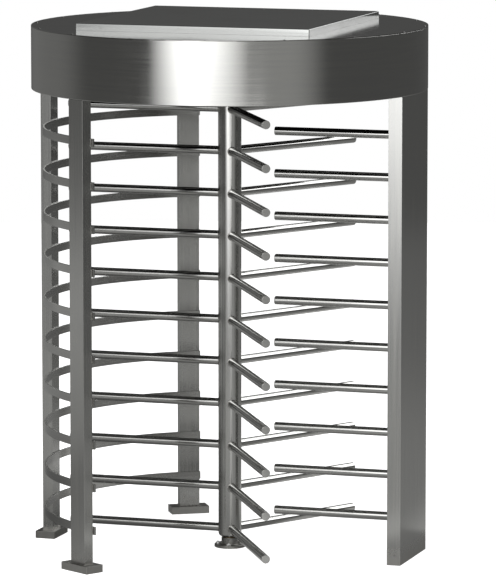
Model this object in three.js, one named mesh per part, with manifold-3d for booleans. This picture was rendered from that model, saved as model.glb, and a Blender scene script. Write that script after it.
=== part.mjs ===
// Full height turnstile: a three-wing rotor, a comb barrier, a curved cage and a round head canopy.
// Millimetres, +Z up. The origin is on the floor, on the rotor's axis. The comb post is on the +X side.

import * as THREE from 'three';
import { mergeVertices } from 'three/addons/utils/BufferGeometryUtils.js';
import Module from 'manifold-3d';

const wasm = await Module();
wasm.setup();

// Clearances
const FIT_GAP = 0.3;
const SEAT_GAP = 0.3;
const OVERRUN = 5;
const WELD_SINK = 1;

// Rotor: wings of straight tubes, one tube on each level
const WING_COUNT = 3;
const FIRST_WING_ANGLE = Math.PI;
const LEVEL_COUNT = 11;
const LEVEL_PITCH = 190;
const LOWEST_ARM_HEIGHT = 85.5;
const ARM_TIP_RADIUS = 760;
const ARM_DIAMETER = 38;
const ARM_WALL = 2;
const ARM_CAP = 4;
const ARM_PLUG_DEPTH = 17;
const TUBE_SIDES = 14;

// Column that carries the arms
const COLUMN_DIAMETER = 104;
const COLUMN_WALL = 5;
const COLUMN_FLOOR = 14;
const COLUMN_CORNER_RADIUS = 18;
const CORNER_STEPS = 3;
const COLUMN_SIDES = 28;

// Floor flange, its stub and journal, and the bush that the column turns on
const FLANGE_DIAMETER = 140;
const FLANGE_THICKNESS = 13;
const FLANGE_EDGE_CHAMFER = 2;
const STUB_DIAMETER = 77;
const STUB_HEIGHT = 30;
const JOURNAL_DIAMETER = 34;
const JOURNAL_LENGTH = 40;
const BUSH_WALL = 5;
const BUSH_COLLAR_DIAMETER = 66;
const BUSH_COLLAR_THICKNESS = 4;
const FLANGE_BOLT_CIRCLE = 108;
const FLANGE_BOLT_HOLE_DIAMETER = 11;
const FLANGE_BOLT_COUNT = 4;
const FLANGE_BOLT_ANGLE = THREE.MathUtils.degToRad(-80);
const BOLT_HOLE_SIDES = 12;

// Comb barrier: straight tubes halfway between the arms, welded to a strip inside the comb post
const COMB_TIP_CLEARANCE = 161.5;
const COMB_STRIP_WIDTH = 80;
const COMB_STRIP_THICKNESS = 6;
const COMB_STRIP_MARGIN = 40;

// Comb post: a wide flat box section
const COMB_POST_THICKNESS = 62;
const COMB_POST_WIDTH = 412;
const COMB_POST_WALL = 3;
const COMB_POST_BASE = 10;
const COMB_POST_CAP = 8;
const CABLE_HOLE_DIAMETER = 36;
const CABLE_HOLE_OFFSET = 120;

// Cage: curved flat bars inside three posts
const CAGE_CLEARANCE = 65;
const CAGE_BAR_THICKNESS = 8;
const CAGE_BAR_HEIGHT = 36;
const CAGE_POST_SPREAD = THREE.MathUtils.degToRad(58.8);
const CAGE_BAR_FRONT_TAB = 10.5;
const CAGE_BAR_BACK_TAB = 3;
const CAGE_BAR_STEPS = 20;
const CAGE_POST_DEPTH = 48;
const CAGE_POST_WIDTH = 94;
const CAGE_POST_WALL = 4;
const CAGE_POST_CAP = 8;
const VENT_HOLE_DIAMETER = 20;
const FOOT_LENGTH = 178;
const FOOT_WIDTH = 92;
const FOOT_THICKNESS = 34;

// Canopy: a round casing with its lid plate
const HEADROOM = 73.5;
const CANOPY_HEIGHT = 281.5;
const CANOPY_WALL = 2;
const CANOPY_FLOOR = 3;
const CANOPY_LID = 3;
const CANOPY_POST_MARGIN = 0.4;
const CANOPY_EDGE_ROLL = 3;
const CANOPY_RIM_WIDTH = 25;
const CANOPY_COLUMN_CLEARANCE = 12.5;
const CANOPY_SIDES = 72;

// Service cover on the lid plate, hinged at the back
const COVER_SIZE = 1070;
const COVER_HEIGHT = 32;
const COVER_WALL = 2;
const HATCH_MARGIN = 32;
const CURB_WALL = 3;
const HINGE_SPACING = 640;
const HINGE_PIN_DIAMETER = 8;
const KNUCKLE_DIAMETER = 16;
const KNUCKLE_LENGTH = 44;
const LUG_THICKNESS = 12;
const HINGE_STANDOFF = 1;
const HINGE_SIDES = 14;
const LEAF_THICKNESS = 5;

// Head frame: channels from a hub ring out over the posts, with a plate for the mechanism
const BEAM_WIDTH = 70;
const BEAM_HEIGHT = 60;
const BEAM_WALL = 5;
const BEAM_SETBACK = 3;
const HUB_RING_CLEARANCE = 19.5;
const HUB_RING_WALL = 10;
const HEAD_PLATE_DIAMETER = 400;
const HEAD_PLATE_THICKNESS = 12;
const HEAD_PLATE_HOLE_CLEARANCE = 12;
const PLATE_SIDES = 40;

// Top shaft and its flanged bearing
const SHAFT_DIAMETER = 50;
const SHAFT_PLUG_LENGTH = 60;
const SHAFT_COLLAR_THICKNESS = 10;
const SHAFT_COLLAR_CLEARANCE = 12;
const SHAFT_STEP = 3;
const SHAFT_END_LENGTH = 16;
const BEARING_FLANGE_DIAMETER = 124;
const BEARING_FLANGE_THICKNESS = 12;
const BEARING_BOSS_DIAMETER = 84;
const BEARING_HEIGHT = 32;
const BEARING_TO_WHEEL = 10;

// Index wheel with its notches, and the two locking pawls
const WHEEL_DIAMETER = 220;
const WHEEL_THICKNESS = 14;
const WHEEL_HUB_DIAMETER = 84;
const WHEEL_HUB_DROP = 8;
const WHEEL_HUB_RISE = 10;
const NOTCH_COUNT = 12;
const NOTCH_MOUTH = 20;
const NOTCH_ROOT = 16;
const NOTCH_DEPTH = 14;
const PAWL_REACH = 70;
const PAWL_TAIL = 42;
const PAWL_WIDTH = 16;
const PAWL_THICKNESS = 12;
const PAWL_NOSE_WIDTH = 11;
const PAWL_NOSE_RAMP = 4;
const PAWL_NOSE_BITE = 11;
const PAWL_WHEEL_CLEARANCE = 3;
const PAWL_EYE_DIAMETER = 30;
const PAWL_PIN_DIAMETER = 12;
const PAWL_PIN_SHOULDER = 24;
const PAWL_PIN_HEAD = 8;
const PAWL_RELEASE_ANGLE = THREE.MathUtils.degToRad(12);
const PAWL_SIDES = 16;

// Radii and heights that follow from the sizes above
const armRadius = ARM_DIAMETER / 2;
const columnRadius = COLUMN_DIAMETER / 2;
const columnBore = columnRadius - COLUMN_WALL;
const topArmHeight = LOWEST_ARM_HEIGHT + (LEVEL_COUNT - 1) * LEVEL_PITCH;
const stubTop = FLANGE_THICKNESS + STUB_HEIGHT;
const bushTop = stubTop + SEAT_GAP + BUSH_COLLAR_THICKNESS;
const columnBottom = bushTop + SEAT_GAP;
const canopyBottom = topArmHeight + armRadius + HEADROOM;
const postTop = canopyBottom - SEAT_GAP;
const canopyTop = canopyBottom + CANOPY_HEIGHT;
const casingTop = canopyTop - CANOPY_LID - SEAT_GAP;

// Cage and canopy radii, from the arm tips outwards
const cageInnerRadius = ARM_TIP_RADIUS + CAGE_CLEARANCE;
const cageOuterRadius = cageInnerRadius + CAGE_BAR_THICKNESS;
const cagePostInner = cageOuterRadius + FIT_GAP;
const cagePostOuter = cagePostInner + CAGE_POST_DEPTH;
const cagePostCentre = (cagePostInner + cagePostOuter) / 2;
const canopyRadius = Math.hypot(cagePostOuter, CAGE_POST_WIDTH / 2) + CANOPY_POST_MARGIN;
const combPostCorner = canopyRadius - CANOPY_POST_MARGIN / 2;
const combPostOuter = Math.sqrt(combPostCorner ** 2 - (COMB_POST_WIDTH / 2) ** 2);
const combPostInner = combPostOuter - COMB_POST_THICKNESS;

// Levels of the head mechanism, from the canopy floor upwards
const frameBottom = canopyBottom + CANOPY_FLOOR + SEAT_GAP;
const headPlateBottom = frameBottom + BEAM_HEIGHT;
const headPlateTop = headPlateBottom + HEAD_PLATE_THICKNESS;
const columnTop = headPlateBottom - SHAFT_COLLAR_CLEARANCE - SHAFT_COLLAR_THICKNESS;
const bearingBottom = headPlateTop + SEAT_GAP;
const bearingTop = bearingBottom + BEARING_HEIGHT;
const shaftStepHeight = bearingTop + BEARING_TO_WHEEL;
const wheelHubBottom = shaftStepHeight + SEAT_GAP;
const wheelBottom = wheelHubBottom + WHEEL_HUB_DROP;
const wheelTop = wheelBottom + WHEEL_THICKNESS;
const wheelHubTop = wheelTop + WHEEL_HUB_RISE;
const shaftRadius = SHAFT_DIAMETER / 2;
const wheelRadius = WHEEL_DIAMETER / 2;
const pawlMiddle = (wheelBottom + wheelTop) / 2;
const pawlCentreOffset = wheelRadius + PAWL_WHEEL_CLEARANCE + PAWL_WIDTH / 2;

// Materials

function brushedSteel() {
  return new THREE.MeshStandardMaterial({ color: 0x9a9c99, roughness: 0.35, metalness: 1 });
}

function darkSheetSteel() {
  return new THREE.MeshStandardMaterial({ color: 0x6c6e6c, roughness: 0.3, metalness: 1 });
}

function machinedSteel() {
  return new THREE.MeshStandardMaterial({ color: 0x8a8a86, roughness: 0.4, metalness: 1 });
}

function paintedSteel() {
  return new THREE.MeshStandardMaterial({ color: 0x3b3f42, roughness: 0.6, metalness: 0.2 });
}

function bronze() {
  return new THREE.MeshStandardMaterial({ color: 0xa8793c, roughness: 0.45, metalness: 1 });
}

// Solids

function toSolid(geometry) {
  geometry.deleteAttribute('normal');
  geometry.deleteAttribute('uv');
  const merged = mergeVertices(geometry);
  const corners = merged.index.array;
  const kept = [];
  for (let i = 0; i < corners.length; i += 3) {
    const [a, b, c] = [corners[i], corners[i + 1], corners[i + 2]];
    if (a !== b && b !== c && c !== a) {
      kept.push(a, b, c);
    }
  }
  return new wasm.Manifold(new wasm.Mesh({
    numProp: 3,
    vertProperties: new Float32Array(merged.attributes.position.array),
    triVerts: new Uint32Array(kept),
  }));
}

function toGeometry(solid) {
  const mesh = solid.getMesh();
  const geometry = new THREE.BufferGeometry();
  geometry.setAttribute('position', new THREE.BufferAttribute(mesh.vertProperties, 3));
  geometry.setIndex(new THREE.BufferAttribute(mesh.triVerts, 1));
  geometry.computeVertexNormals();
  return geometry;
}

function join(first, ...others) {
  return others.reduce((sum, other) => sum.add(other), first);
}

function cut(body, ...tools) {
  return tools.reduce((rest, tool) => rest.subtract(tool), body);
}

// A box from its corners, given as ranges along X, Y and Z
function block([x0, x1], [y0, y1], [z0, z1]) {
  const box = new THREE.BoxGeometry(x1 - x0, y1 - y0, z1 - z0);
  box.translate((x0 + x1) / 2, (y0 + y1) / 2, (z0 + z1) / 2);
  return box;
}

// A body of revolution about Z; the profile lists [radius, height] with its outer side going up
function turned(profile, sides) {
  const points = profile.map(([r, z]) => new THREE.Vector2(r, z));
  return new THREE.LatheGeometry(points, sides).rotateX(Math.PI / 2);
}

function ring(innerRadius, outerRadius, z0, z1, sides) {
  const profile = [
    [innerRadius, z0],
    [outerRadius, z0],
    [outerRadius, z1],
    [innerRadius, z1],
    [innerRadius, z0],
  ];
  return turned(profile, sides);
}

function rod(radius, z0, z1, sides) {
  return turned([[0, z0], [radius, z0], [radius, z1], [0, z1]], sides);
}

// A rod along X, from x0 to x1
function crossRod(radius, x0, x1, sides) {
  return rod(radius, x0, x1, sides).rotateY(Math.PI / 2);
}

function prism(shape, z0, z1) {
  const body = new THREE.ExtrudeGeometry(shape, { depth: z1 - z0, bevelEnabled: false });
  return body.translate(0, 0, z0);
}

function cornerArc(centreR, centreZ, radius, fromAngle, toAngle) {
  const points = [];
  for (let i = 0; i <= CORNER_STEPS; i += 1) {
    const angle = fromAngle + ((toAngle - fromAngle) * i) / CORNER_STEPS;
    points.push([centreR + radius * Math.cos(angle), centreZ + radius * Math.sin(angle)]);
  }
  return points;
}

function piece(name, geometry, material) {
  const mesh = new THREE.Mesh(geometry, material);
  mesh.name = name;
  return mesh;
}

function levelName(index) {
  return String(index + 1).padStart(2, '0');
}

function armHeight(level) {
  return LOWEST_ARM_HEIGHT + level * LEVEL_PITCH;
}

function combHeight(level) {
  return armHeight(level) + LEVEL_PITCH / 2;
}

function wingAngle(wing) {
  return FIRST_WING_ANGLE + (wing * 2 * Math.PI) / WING_COUNT;
}

// Base flange: flange, stub and journal in one turned piece, with holes for its anchors
function baseFlange() {
  const flangeRadius = FLANGE_DIAMETER / 2;
  const stubRadius = STUB_DIAMETER / 2;
  const journalRadius = JOURNAL_DIAMETER / 2;
  const body = toSolid(turned([
    [0, 0],
    [flangeRadius, 0],
    [flangeRadius, FLANGE_THICKNESS - FLANGE_EDGE_CHAMFER],
    [flangeRadius - FLANGE_EDGE_CHAMFER, FLANGE_THICKNESS],
    [stubRadius, FLANGE_THICKNESS],
    [stubRadius, stubTop],
    [journalRadius, stubTop],
    [journalRadius, stubTop + JOURNAL_LENGTH],
    [0, stubTop + JOURNAL_LENGTH],
  ], COLUMN_SIDES));
  const holes = [];
  for (let i = 0; i < FLANGE_BOLT_COUNT; i += 1) {
    const angle = FLANGE_BOLT_ANGLE + (i * 2 * Math.PI) / FLANGE_BOLT_COUNT;
    const hole = rod(FLANGE_BOLT_HOLE_DIAMETER / 2, -OVERRUN, FLANGE_THICKNESS + OVERRUN, BOLT_HOLE_SIDES);
    hole.translate(FLANGE_BOLT_CIRCLE / 2, 0, 0);
    hole.rotateZ(angle);
    holes.push(toSolid(hole));
  }
  return piece('base_flange', toGeometry(cut(body, ...holes)), brushedSteel());
}

function baseBush() {
  const bore = JOURNAL_DIAMETER / 2 + FIT_GAP;
  const sleeve = bore + BUSH_WALL;
  const profile = [
    [bore, stubTop + SEAT_GAP],
    [BUSH_COLLAR_DIAMETER / 2, stubTop + SEAT_GAP],
    [BUSH_COLLAR_DIAMETER / 2, bushTop],
    [sleeve, bushTop],
    [sleeve, columnBottom + COLUMN_FLOOR],
    [bore, columnBottom + COLUMN_FLOOR],
    [bore, stubTop + SEAT_GAP],
  ];
  return piece('base_bush', turned(profile, COLUMN_SIDES), bronze());
}

// Column: a tube with a floor that turns on the bush, and a socket for each arm
function rotorColumn() {
  const floorBore = JOURNAL_DIAMETER / 2 + FIT_GAP + BUSH_WALL + FIT_GAP;
  const cornerR = columnRadius - COLUMN_CORNER_RADIUS;
  const cornerZ = columnBottom + COLUMN_CORNER_RADIUS;
  const tube = toSolid(turned([
    [floorBore, columnBottom],
    ...cornerArc(cornerR, cornerZ, COLUMN_CORNER_RADIUS, -Math.PI / 2, 0),
    [columnRadius, columnTop],
    [columnBore, columnTop],
    [columnBore, columnBottom + COLUMN_FLOOR],
    [floorBore, columnBottom + COLUMN_FLOOR],
    [floorBore, columnBottom],
  ], COLUMN_SIDES));
  const sockets = [];
  for (let wing = 0; wing < WING_COUNT; wing += 1) {
    for (let level = 0; level < LEVEL_COUNT; level += 1) {
      const socket = crossRod(armRadius + FIT_GAP, columnBore - OVERRUN, columnRadius + OVERRUN, TUBE_SIDES);
      socket.translate(0, 0, armHeight(level));
      socket.rotateZ(wingAngle(wing));
      sockets.push(toSolid(socket));
    }
  }
  return piece('rotor_column', toGeometry(cut(tube, ...sockets)), brushedSteel());
}

// Arm: a tube along X, open at its plug end in the column and capped at its tip
function armTube() {
  const bore = armRadius - ARM_WALL;
  const plugEnd = columnRadius - ARM_PLUG_DEPTH;
  const tube = turned([
    [0, ARM_TIP_RADIUS - ARM_CAP],
    [bore, ARM_TIP_RADIUS - ARM_CAP],
    [bore, plugEnd],
    [armRadius, plugEnd],
    [armRadius, ARM_TIP_RADIUS],
    [0, ARM_TIP_RADIUS],
  ], TUBE_SIDES);
  return tube.rotateY(Math.PI / 2);
}

function rotorWing(wing) {
  const group = new THREE.Group();
  group.rotation.z = wingAngle(wing);
  const wingName = 'wing_' + (wing + 1);
  for (let level = 0; level < LEVEL_COUNT; level += 1) {
    const arm = piece(wingName + '_arm_' + levelName(level), armTube(), brushedSteel());
    arm.position.z = armHeight(level);
    group.add(arm);
  }
  return group;
}

// Top shaft: a plug in the column, a collar over it, the bearing's journal and the wheel's seat
function topShaft() {
  const plugRadius = columnBore - FIT_GAP;
  const seatRadius = shaftRadius - SHAFT_STEP;
  const profile = [
    [0, columnTop - SHAFT_PLUG_LENGTH],
    [plugRadius, columnTop - SHAFT_PLUG_LENGTH],
    [plugRadius, columnTop + SEAT_GAP],
    [columnRadius, columnTop + SEAT_GAP],
    [columnRadius, columnTop + SHAFT_COLLAR_THICKNESS],
    [shaftRadius, columnTop + SHAFT_COLLAR_THICKNESS],
    [shaftRadius, shaftStepHeight],
    [seatRadius, shaftStepHeight],
    [seatRadius, wheelHubTop + SHAFT_END_LENGTH],
    [0, wheelHubTop + SHAFT_END_LENGTH],
  ];
  return piece('rotor_top_shaft', turned(profile, COLUMN_SIDES), machinedSteel());
}

function topBearing() {
  const bore = shaftRadius + FIT_GAP;
  const profile = [
    [bore, bearingBottom],
    [BEARING_FLANGE_DIAMETER / 2, bearingBottom],
    [BEARING_FLANGE_DIAMETER / 2, bearingBottom + BEARING_FLANGE_THICKNESS],
    [BEARING_BOSS_DIAMETER / 2, bearingBottom + BEARING_FLANGE_THICKNESS],
    [BEARING_BOSS_DIAMETER / 2, bearingTop],
    [bore, bearingTop],
    [bore, bearingBottom],
  ];
  return piece('top_bearing', turned(profile, COLUMN_SIDES), paintedSteel());
}

// Index wheel: a disc with a notch for every step of the rotor, on a hub
function indexWheel() {
  const outline = new THREE.Shape();
  const rootRadius = wheelRadius - NOTCH_DEPTH;
  const mouthHalfAngle = Math.asin(NOTCH_MOUTH / 2 / wheelRadius);
  const rootHalfAngle = Math.asin(NOTCH_ROOT / 2 / rootRadius);
  const pitch = (2 * Math.PI) / NOTCH_COUNT;
  const corners = [];
  for (let i = 0; i < NOTCH_COUNT; i += 1) {
    const middle = i * pitch;
    corners.push([wheelRadius, middle - mouthHalfAngle]);
    corners.push([rootRadius, middle - rootHalfAngle]);
    corners.push([rootRadius, middle + rootHalfAngle]);
    corners.push([wheelRadius, middle + mouthHalfAngle]);
    corners.push([wheelRadius, middle + pitch / 2]);
  }
  outline.setFromPoints(corners.map(([r, a]) => new THREE.Vector2(r * Math.cos(a), r * Math.sin(a))));
  const hubRadius = WHEEL_HUB_DIAMETER / 2;
  const bore = shaftRadius - SHAFT_STEP + FIT_GAP;
  const disc = toSolid(prism(outline, wheelBottom, wheelTop));
  const hub = toSolid(rod(hubRadius, wheelHubBottom, wheelHubTop, COLUMN_SIDES));
  const hole = toSolid(rod(bore, wheelHubBottom - OVERRUN, wheelHubTop + OVERRUN, COLUMN_SIDES));
  return piece('index_wheel', toGeometry(cut(join(disc, hub), hole)), machinedSteel());
}

// A pawl is drawn in its locked place with its pin at the origin and its nose towards -Y.
// The nose is steep on its far side, which stops the wheel, and ramped on the side of the pin.
function pawlGeometry(side) {
  const half = PAWL_WIDTH / 2;
  const noseHalf = PAWL_NOSE_WIDTH / 2;
  const noseDepth = half + PAWL_WHEEL_CLEARANCE + PAWL_NOSE_BITE;
  const outline = new THREE.Shape();
  outline.setFromPoints([
    new THREE.Vector2(-PAWL_TAIL, -half),
    new THREE.Vector2(PAWL_REACH - noseHalf - PAWL_NOSE_RAMP, -half),
    new THREE.Vector2(PAWL_REACH - noseHalf, -noseDepth),
    new THREE.Vector2(PAWL_REACH + noseHalf, -noseDepth),
    new THREE.Vector2(PAWL_REACH + noseHalf, half),
    new THREE.Vector2(-PAWL_TAIL, half),
  ]);
  const bottom = -PAWL_THICKNESS / 2;
  const lever = toSolid(prism(outline, bottom, -bottom));
  const eye = toSolid(rod(PAWL_EYE_DIAMETER / 2, bottom, -bottom, PAWL_SIDES));
  const boreRadius = PAWL_PIN_DIAMETER / 2 + FIT_GAP;
  const bore = toSolid(rod(boreRadius, bottom - OVERRUN, OVERRUN - bottom, PAWL_SIDES));
  const geometry = toGeometry(cut(join(lever, eye), bore));
  return side > 0 ? geometry : mirrored(geometry);
}

// The other hand of a piece: X is turned round, and each triangle with it
function mirrored(geometry) {
  geometry.scale(-1, 1, 1);
  const corners = geometry.index.array;
  for (let i = 0; i < corners.length; i += 3) {
    [corners[i + 1], corners[i + 2]] = [corners[i + 2], corners[i + 1]];
  }
  return geometry;
}

// side is 1 for the pawl on the +Y side of the wheel and -1 for the mirrored one opposite
function lockingPawl(name, side) {
  const station = new THREE.Group();
  station.rotation.z = side > 0 ? 0 : Math.PI;
  const pawl = piece(name, pawlGeometry(side), machinedSteel());
  pawl.position.set(-side * PAWL_REACH, pawlCentreOffset, pawlMiddle);
  pawl.rotation.z = side * PAWL_RELEASE_ANGLE;
  station.add(pawl);
  return station;
}

function pawlPin(side) {
  const x = -side * PAWL_REACH;
  const shoulderTop = pawlMiddle - PAWL_THICKNESS / 2 - SEAT_GAP;
  const shoulder = rod(PAWL_PIN_SHOULDER / 2, headPlateBottom, shoulderTop, PAWL_SIDES);
  const pinTop = pawlMiddle + PAWL_THICKNESS / 2 + PAWL_PIN_HEAD;
  const pin = rod(PAWL_PIN_DIAMETER / 2, headPlateBottom, pinTop, PAWL_SIDES);
  for (const part of [shoulder, pin]) {
    part.translate(x, pawlCentreOffset, 0);
    part.rotateZ(side > 0 ? 0 : Math.PI);
  }
  return join(toSolid(shoulder), toSolid(pin));
}

// A channel that lies open side down, from the hub ring out along X
function frameBeam(outerEnd, angle) {
  const start = columnRadius + HUB_RING_CLEARANCE + HUB_RING_WALL - WELD_SINK;
  const half = BEAM_WIDTH / 2;
  const top = headPlateBottom;
  const outer = toSolid(block([start, outerEnd], [-half, half], [frameBottom, top]).rotateZ(angle));
  const inside = block(
    [start - OVERRUN, outerEnd + OVERRUN],
    [BEAM_WALL - half, half - BEAM_WALL],
    [frameBottom - OVERRUN, top - BEAM_WALL],
  ).rotateZ(angle);
  return cut(outer, toSolid(inside));
}

function headFrame() {
  const hubInner = columnRadius + HUB_RING_CLEARANCE;
  const hubOuter = hubInner + HUB_RING_WALL;
  const hub = toSolid(ring(hubInner, hubOuter, frameBottom, headPlateBottom + WELD_SINK, COLUMN_SIDES));
  const plate = toSolid(ring(
    shaftRadius + HEAD_PLATE_HOLE_CLEARANCE,
    HEAD_PLATE_DIAMETER / 2,
    headPlateBottom,
    headPlateTop,
    PLATE_SIDES,
  ));
  const cageBeams = cagePostAngles().map((angle) => frameBeam(cagePostOuter - BEAM_SETBACK, angle));
  const combBeam = frameBeam(combPostOuter, 0);
  const hubBore = toSolid(rod(hubInner, frameBottom - OVERRUN, headPlateBottom, COLUMN_SIDES));
  const beams = cut(join(combBeam, ...cageBeams), hubBore);
  const frame = join(hub, beams, plate, pawlPin(1), pawlPin(-1));
  return piece('head_frame', toGeometry(frame), paintedSteel());
}

function cagePostAngles() {
  return [Math.PI, Math.PI + CAGE_POST_SPREAD, Math.PI - CAGE_POST_SPREAD];
}

// Cage post: a box section with a foot plate and a vented cap, drawn on the +X side
function cagePostGeometry() {
  const half = CAGE_POST_WIDTH / 2;
  const tube = toSolid(block([cagePostInner, cagePostOuter], [-half, half], [0, postTop]));
  const foot = toSolid(block(
    [cagePostCentre - FOOT_WIDTH / 2, cagePostCentre + FOOT_WIDTH / 2],
    [-FOOT_LENGTH / 2, FOOT_LENGTH / 2],
    [0, FOOT_THICKNESS],
  ));
  const cavity = toSolid(block(
    [cagePostInner + CAGE_POST_WALL, cagePostOuter - CAGE_POST_WALL],
    [CAGE_POST_WALL - half, half - CAGE_POST_WALL],
    [FOOT_THICKNESS, postTop - CAGE_POST_CAP],
  ));
  const vent = rod(VENT_HOLE_DIAMETER / 2, postTop - CAGE_POST_CAP - OVERRUN, postTop + OVERRUN, BOLT_HOLE_SIDES);
  vent.translate(cagePostCentre, 0, 0);
  return toGeometry(cut(join(tube, foot), cavity, toSolid(vent)));
}

function cagePosts() {
  const names = ['cage_post_middle', 'cage_post_front', 'cage_post_back'];
  return cagePostAngles().map((angle, i) => {
    const post = piece(names[i], cagePostGeometry(), brushedSteel());
    post.rotation.z = angle;
    return post;
  });
}

// Cage bar: a flat bar rolled to the cage's radius, with a tab past the front post and a shorter one at the back
function cageBar(level) {
  const postHalf = CAGE_POST_WIDTH / 2;
  const backEnd = Math.PI - CAGE_POST_SPREAD - (postHalf + CAGE_BAR_BACK_TAB) / cageOuterRadius;
  const frontEnd = Math.PI + CAGE_POST_SPREAD + (postHalf + CAGE_BAR_FRONT_TAB) / cageOuterRadius;
  const outer = [];
  const inner = [];
  for (let i = 0; i <= CAGE_BAR_STEPS; i += 1) {
    const angle = backEnd + ((frontEnd - backEnd) * i) / CAGE_BAR_STEPS;
    const direction = new THREE.Vector2(Math.cos(angle), Math.sin(angle));
    outer.push(direction.clone().multiplyScalar(cageOuterRadius));
    inner.unshift(direction.clone().multiplyScalar(cageInnerRadius));
  }
  const outline = new THREE.Shape().setFromPoints([...outer, ...inner]);
  const geometry = prism(outline, -CAGE_BAR_HEIGHT / 2, CAGE_BAR_HEIGHT / 2);
  const bar = piece('cage_bar_' + levelName(level), geometry, brushedSteel());
  bar.position.z = combHeight(level);
  return bar;
}

// Comb post: the wide box that carries the comb, with a closed base and a cap with a cable hole
function combPost() {
  const half = COMB_POST_WIDTH / 2;
  const wall = COMB_POST_WALL;
  const middleX = (combPostInner + combPostOuter) / 2;
  const box = toSolid(block([combPostInner, combPostOuter], [-half, half], [0, postTop]));
  const cavity = toSolid(block(
    [combPostInner + wall, combPostOuter - wall],
    [wall - half, half - wall],
    [COMB_POST_BASE, postTop - COMB_POST_CAP],
  ));
  const cableHole = rod(CABLE_HOLE_DIAMETER / 2, postTop - COMB_POST_CAP - OVERRUN, postTop + OVERRUN, TUBE_SIDES);
  cableHole.translate(middleX, CABLE_HOLE_OFFSET, 0);
  const holes = [];
  for (let level = 0; level < LEVEL_COUNT - 1; level += 1) {
    const hole = crossRod(armRadius + FIT_GAP, combPostInner - OVERRUN, combPostInner + wall + OVERRUN, TUBE_SIDES);
    hole.translate(0, 0, combHeight(level));
    holes.push(toSolid(hole));
  }
  return piece('comb_post', toGeometry(cut(box, cavity, toSolid(cableHole), ...holes)), brushedSteel());
}

// Comb barrier: capped tubes welded to an upright strip that bolts inside the comb post
function combBarrier() {
  const stripFront = combPostInner + COMB_POST_WALL + FIT_GAP;
  const stripBack = stripFront + COMB_STRIP_THICKNESS;
  const tip = columnRadius + COMB_TIP_CLEARANCE;
  const lowest = combHeight(0);
  const highest = combHeight(LEVEL_COUNT - 2);
  const strip = toSolid(block(
    [stripFront, stripBack],
    [-COMB_STRIP_WIDTH / 2, COMB_STRIP_WIDTH / 2],
    [lowest - COMB_STRIP_MARGIN, highest + COMB_STRIP_MARGIN],
  ));
  const tubes = [];
  const bores = [];
  for (let level = 0; level < LEVEL_COUNT - 1; level += 1) {
    const height = combHeight(level);
    const bore = crossRod(armRadius - ARM_WALL, tip + ARM_CAP, stripBack + OVERRUN, TUBE_SIDES);
    tubes.push(toSolid(crossRod(armRadius, tip, stripBack, TUBE_SIDES).translate(0, 0, height)));
    bores.push(toSolid(bore.translate(0, 0, height)));
  }
  return piece('comb_barrier', toGeometry(cut(join(strip, ...tubes), ...bores)), brushedSteel());
}

// Canopy casing: floor and wall in one, with a rolled lower edge and a rim that the lid rests on
function canopyCasing() {
  const wallInner = canopyRadius - CANOPY_WALL;
  const holeRadius = columnRadius + CANOPY_COLUMN_CLEARANCE;
  const rollR = canopyRadius - CANOPY_EDGE_ROLL;
  const rollZ = canopyBottom + CANOPY_EDGE_ROLL;
  const casing = toSolid(turned([
    [holeRadius, canopyBottom],
    [rollR, canopyBottom],
    [canopyRadius, rollZ],
    [canopyRadius, casingTop],
    [wallInner - CANOPY_RIM_WIDTH, casingTop],
    [wallInner - CANOPY_RIM_WIDTH, casingTop - CANOPY_WALL],
    [wallInner, casingTop - CANOPY_WALL],
    [wallInner, canopyBottom + CANOPY_FLOOR],
    [holeRadius, canopyBottom + CANOPY_FLOOR],
    [holeRadius, canopyBottom],
  ], CANOPY_SIDES));
  const cableHole = rod(
    CABLE_HOLE_DIAMETER / 2,
    canopyBottom - OVERRUN,
    canopyBottom + CANOPY_FLOOR + OVERRUN,
    TUBE_SIDES,
  );
  cableHole.translate((combPostInner + combPostOuter) / 2, CABLE_HOLE_OFFSET, 0);
  return piece('canopy_casing', toGeometry(cut(casing, toSolid(cableHole))), darkSheetSteel());
}

// The cover's hinge line, behind and just above the lid plate
function hingeAxis() {
  const knuckleRadius = KNUCKLE_DIAMETER / 2;
  return {
    y: COVER_SIZE / 2 + HINGE_STANDOFF + knuckleRadius,
    z: canopyTop + SEAT_GAP + knuckleRadius,
  };
}

function hingeMiddles() {
  return [-HINGE_SPACING / 2, HINGE_SPACING / 2];
}

// Two lugs with the pin between them, standing on the lid plate
function hingeLugs(middle) {
  const axis = hingeAxis();
  const radius = KNUCKLE_DIAMETER / 2;
  const inner = KNUCKLE_LENGTH / 2 + FIT_GAP;
  const outer = inner + LUG_THICKNESS;
  const parts = [];
  for (const side of [-1, 1]) {
    const [x0, x1] = side > 0 ? [middle + inner, middle + outer] : [middle - outer, middle - inner];
    const foot = block([x0, x1], [axis.y - radius, axis.y + radius], [canopyTop - WELD_SINK, axis.z]);
    const eye = crossRod(radius, x0, x1, HINGE_SIDES).translate(0, axis.y, axis.z);
    parts.push(toSolid(foot), toSolid(eye));
  }
  const pin = crossRod(HINGE_PIN_DIAMETER / 2, middle - outer, middle + outer, HINGE_SIDES);
  parts.push(toSolid(pin.translate(0, axis.y, axis.z)));
  return parts;
}

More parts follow.
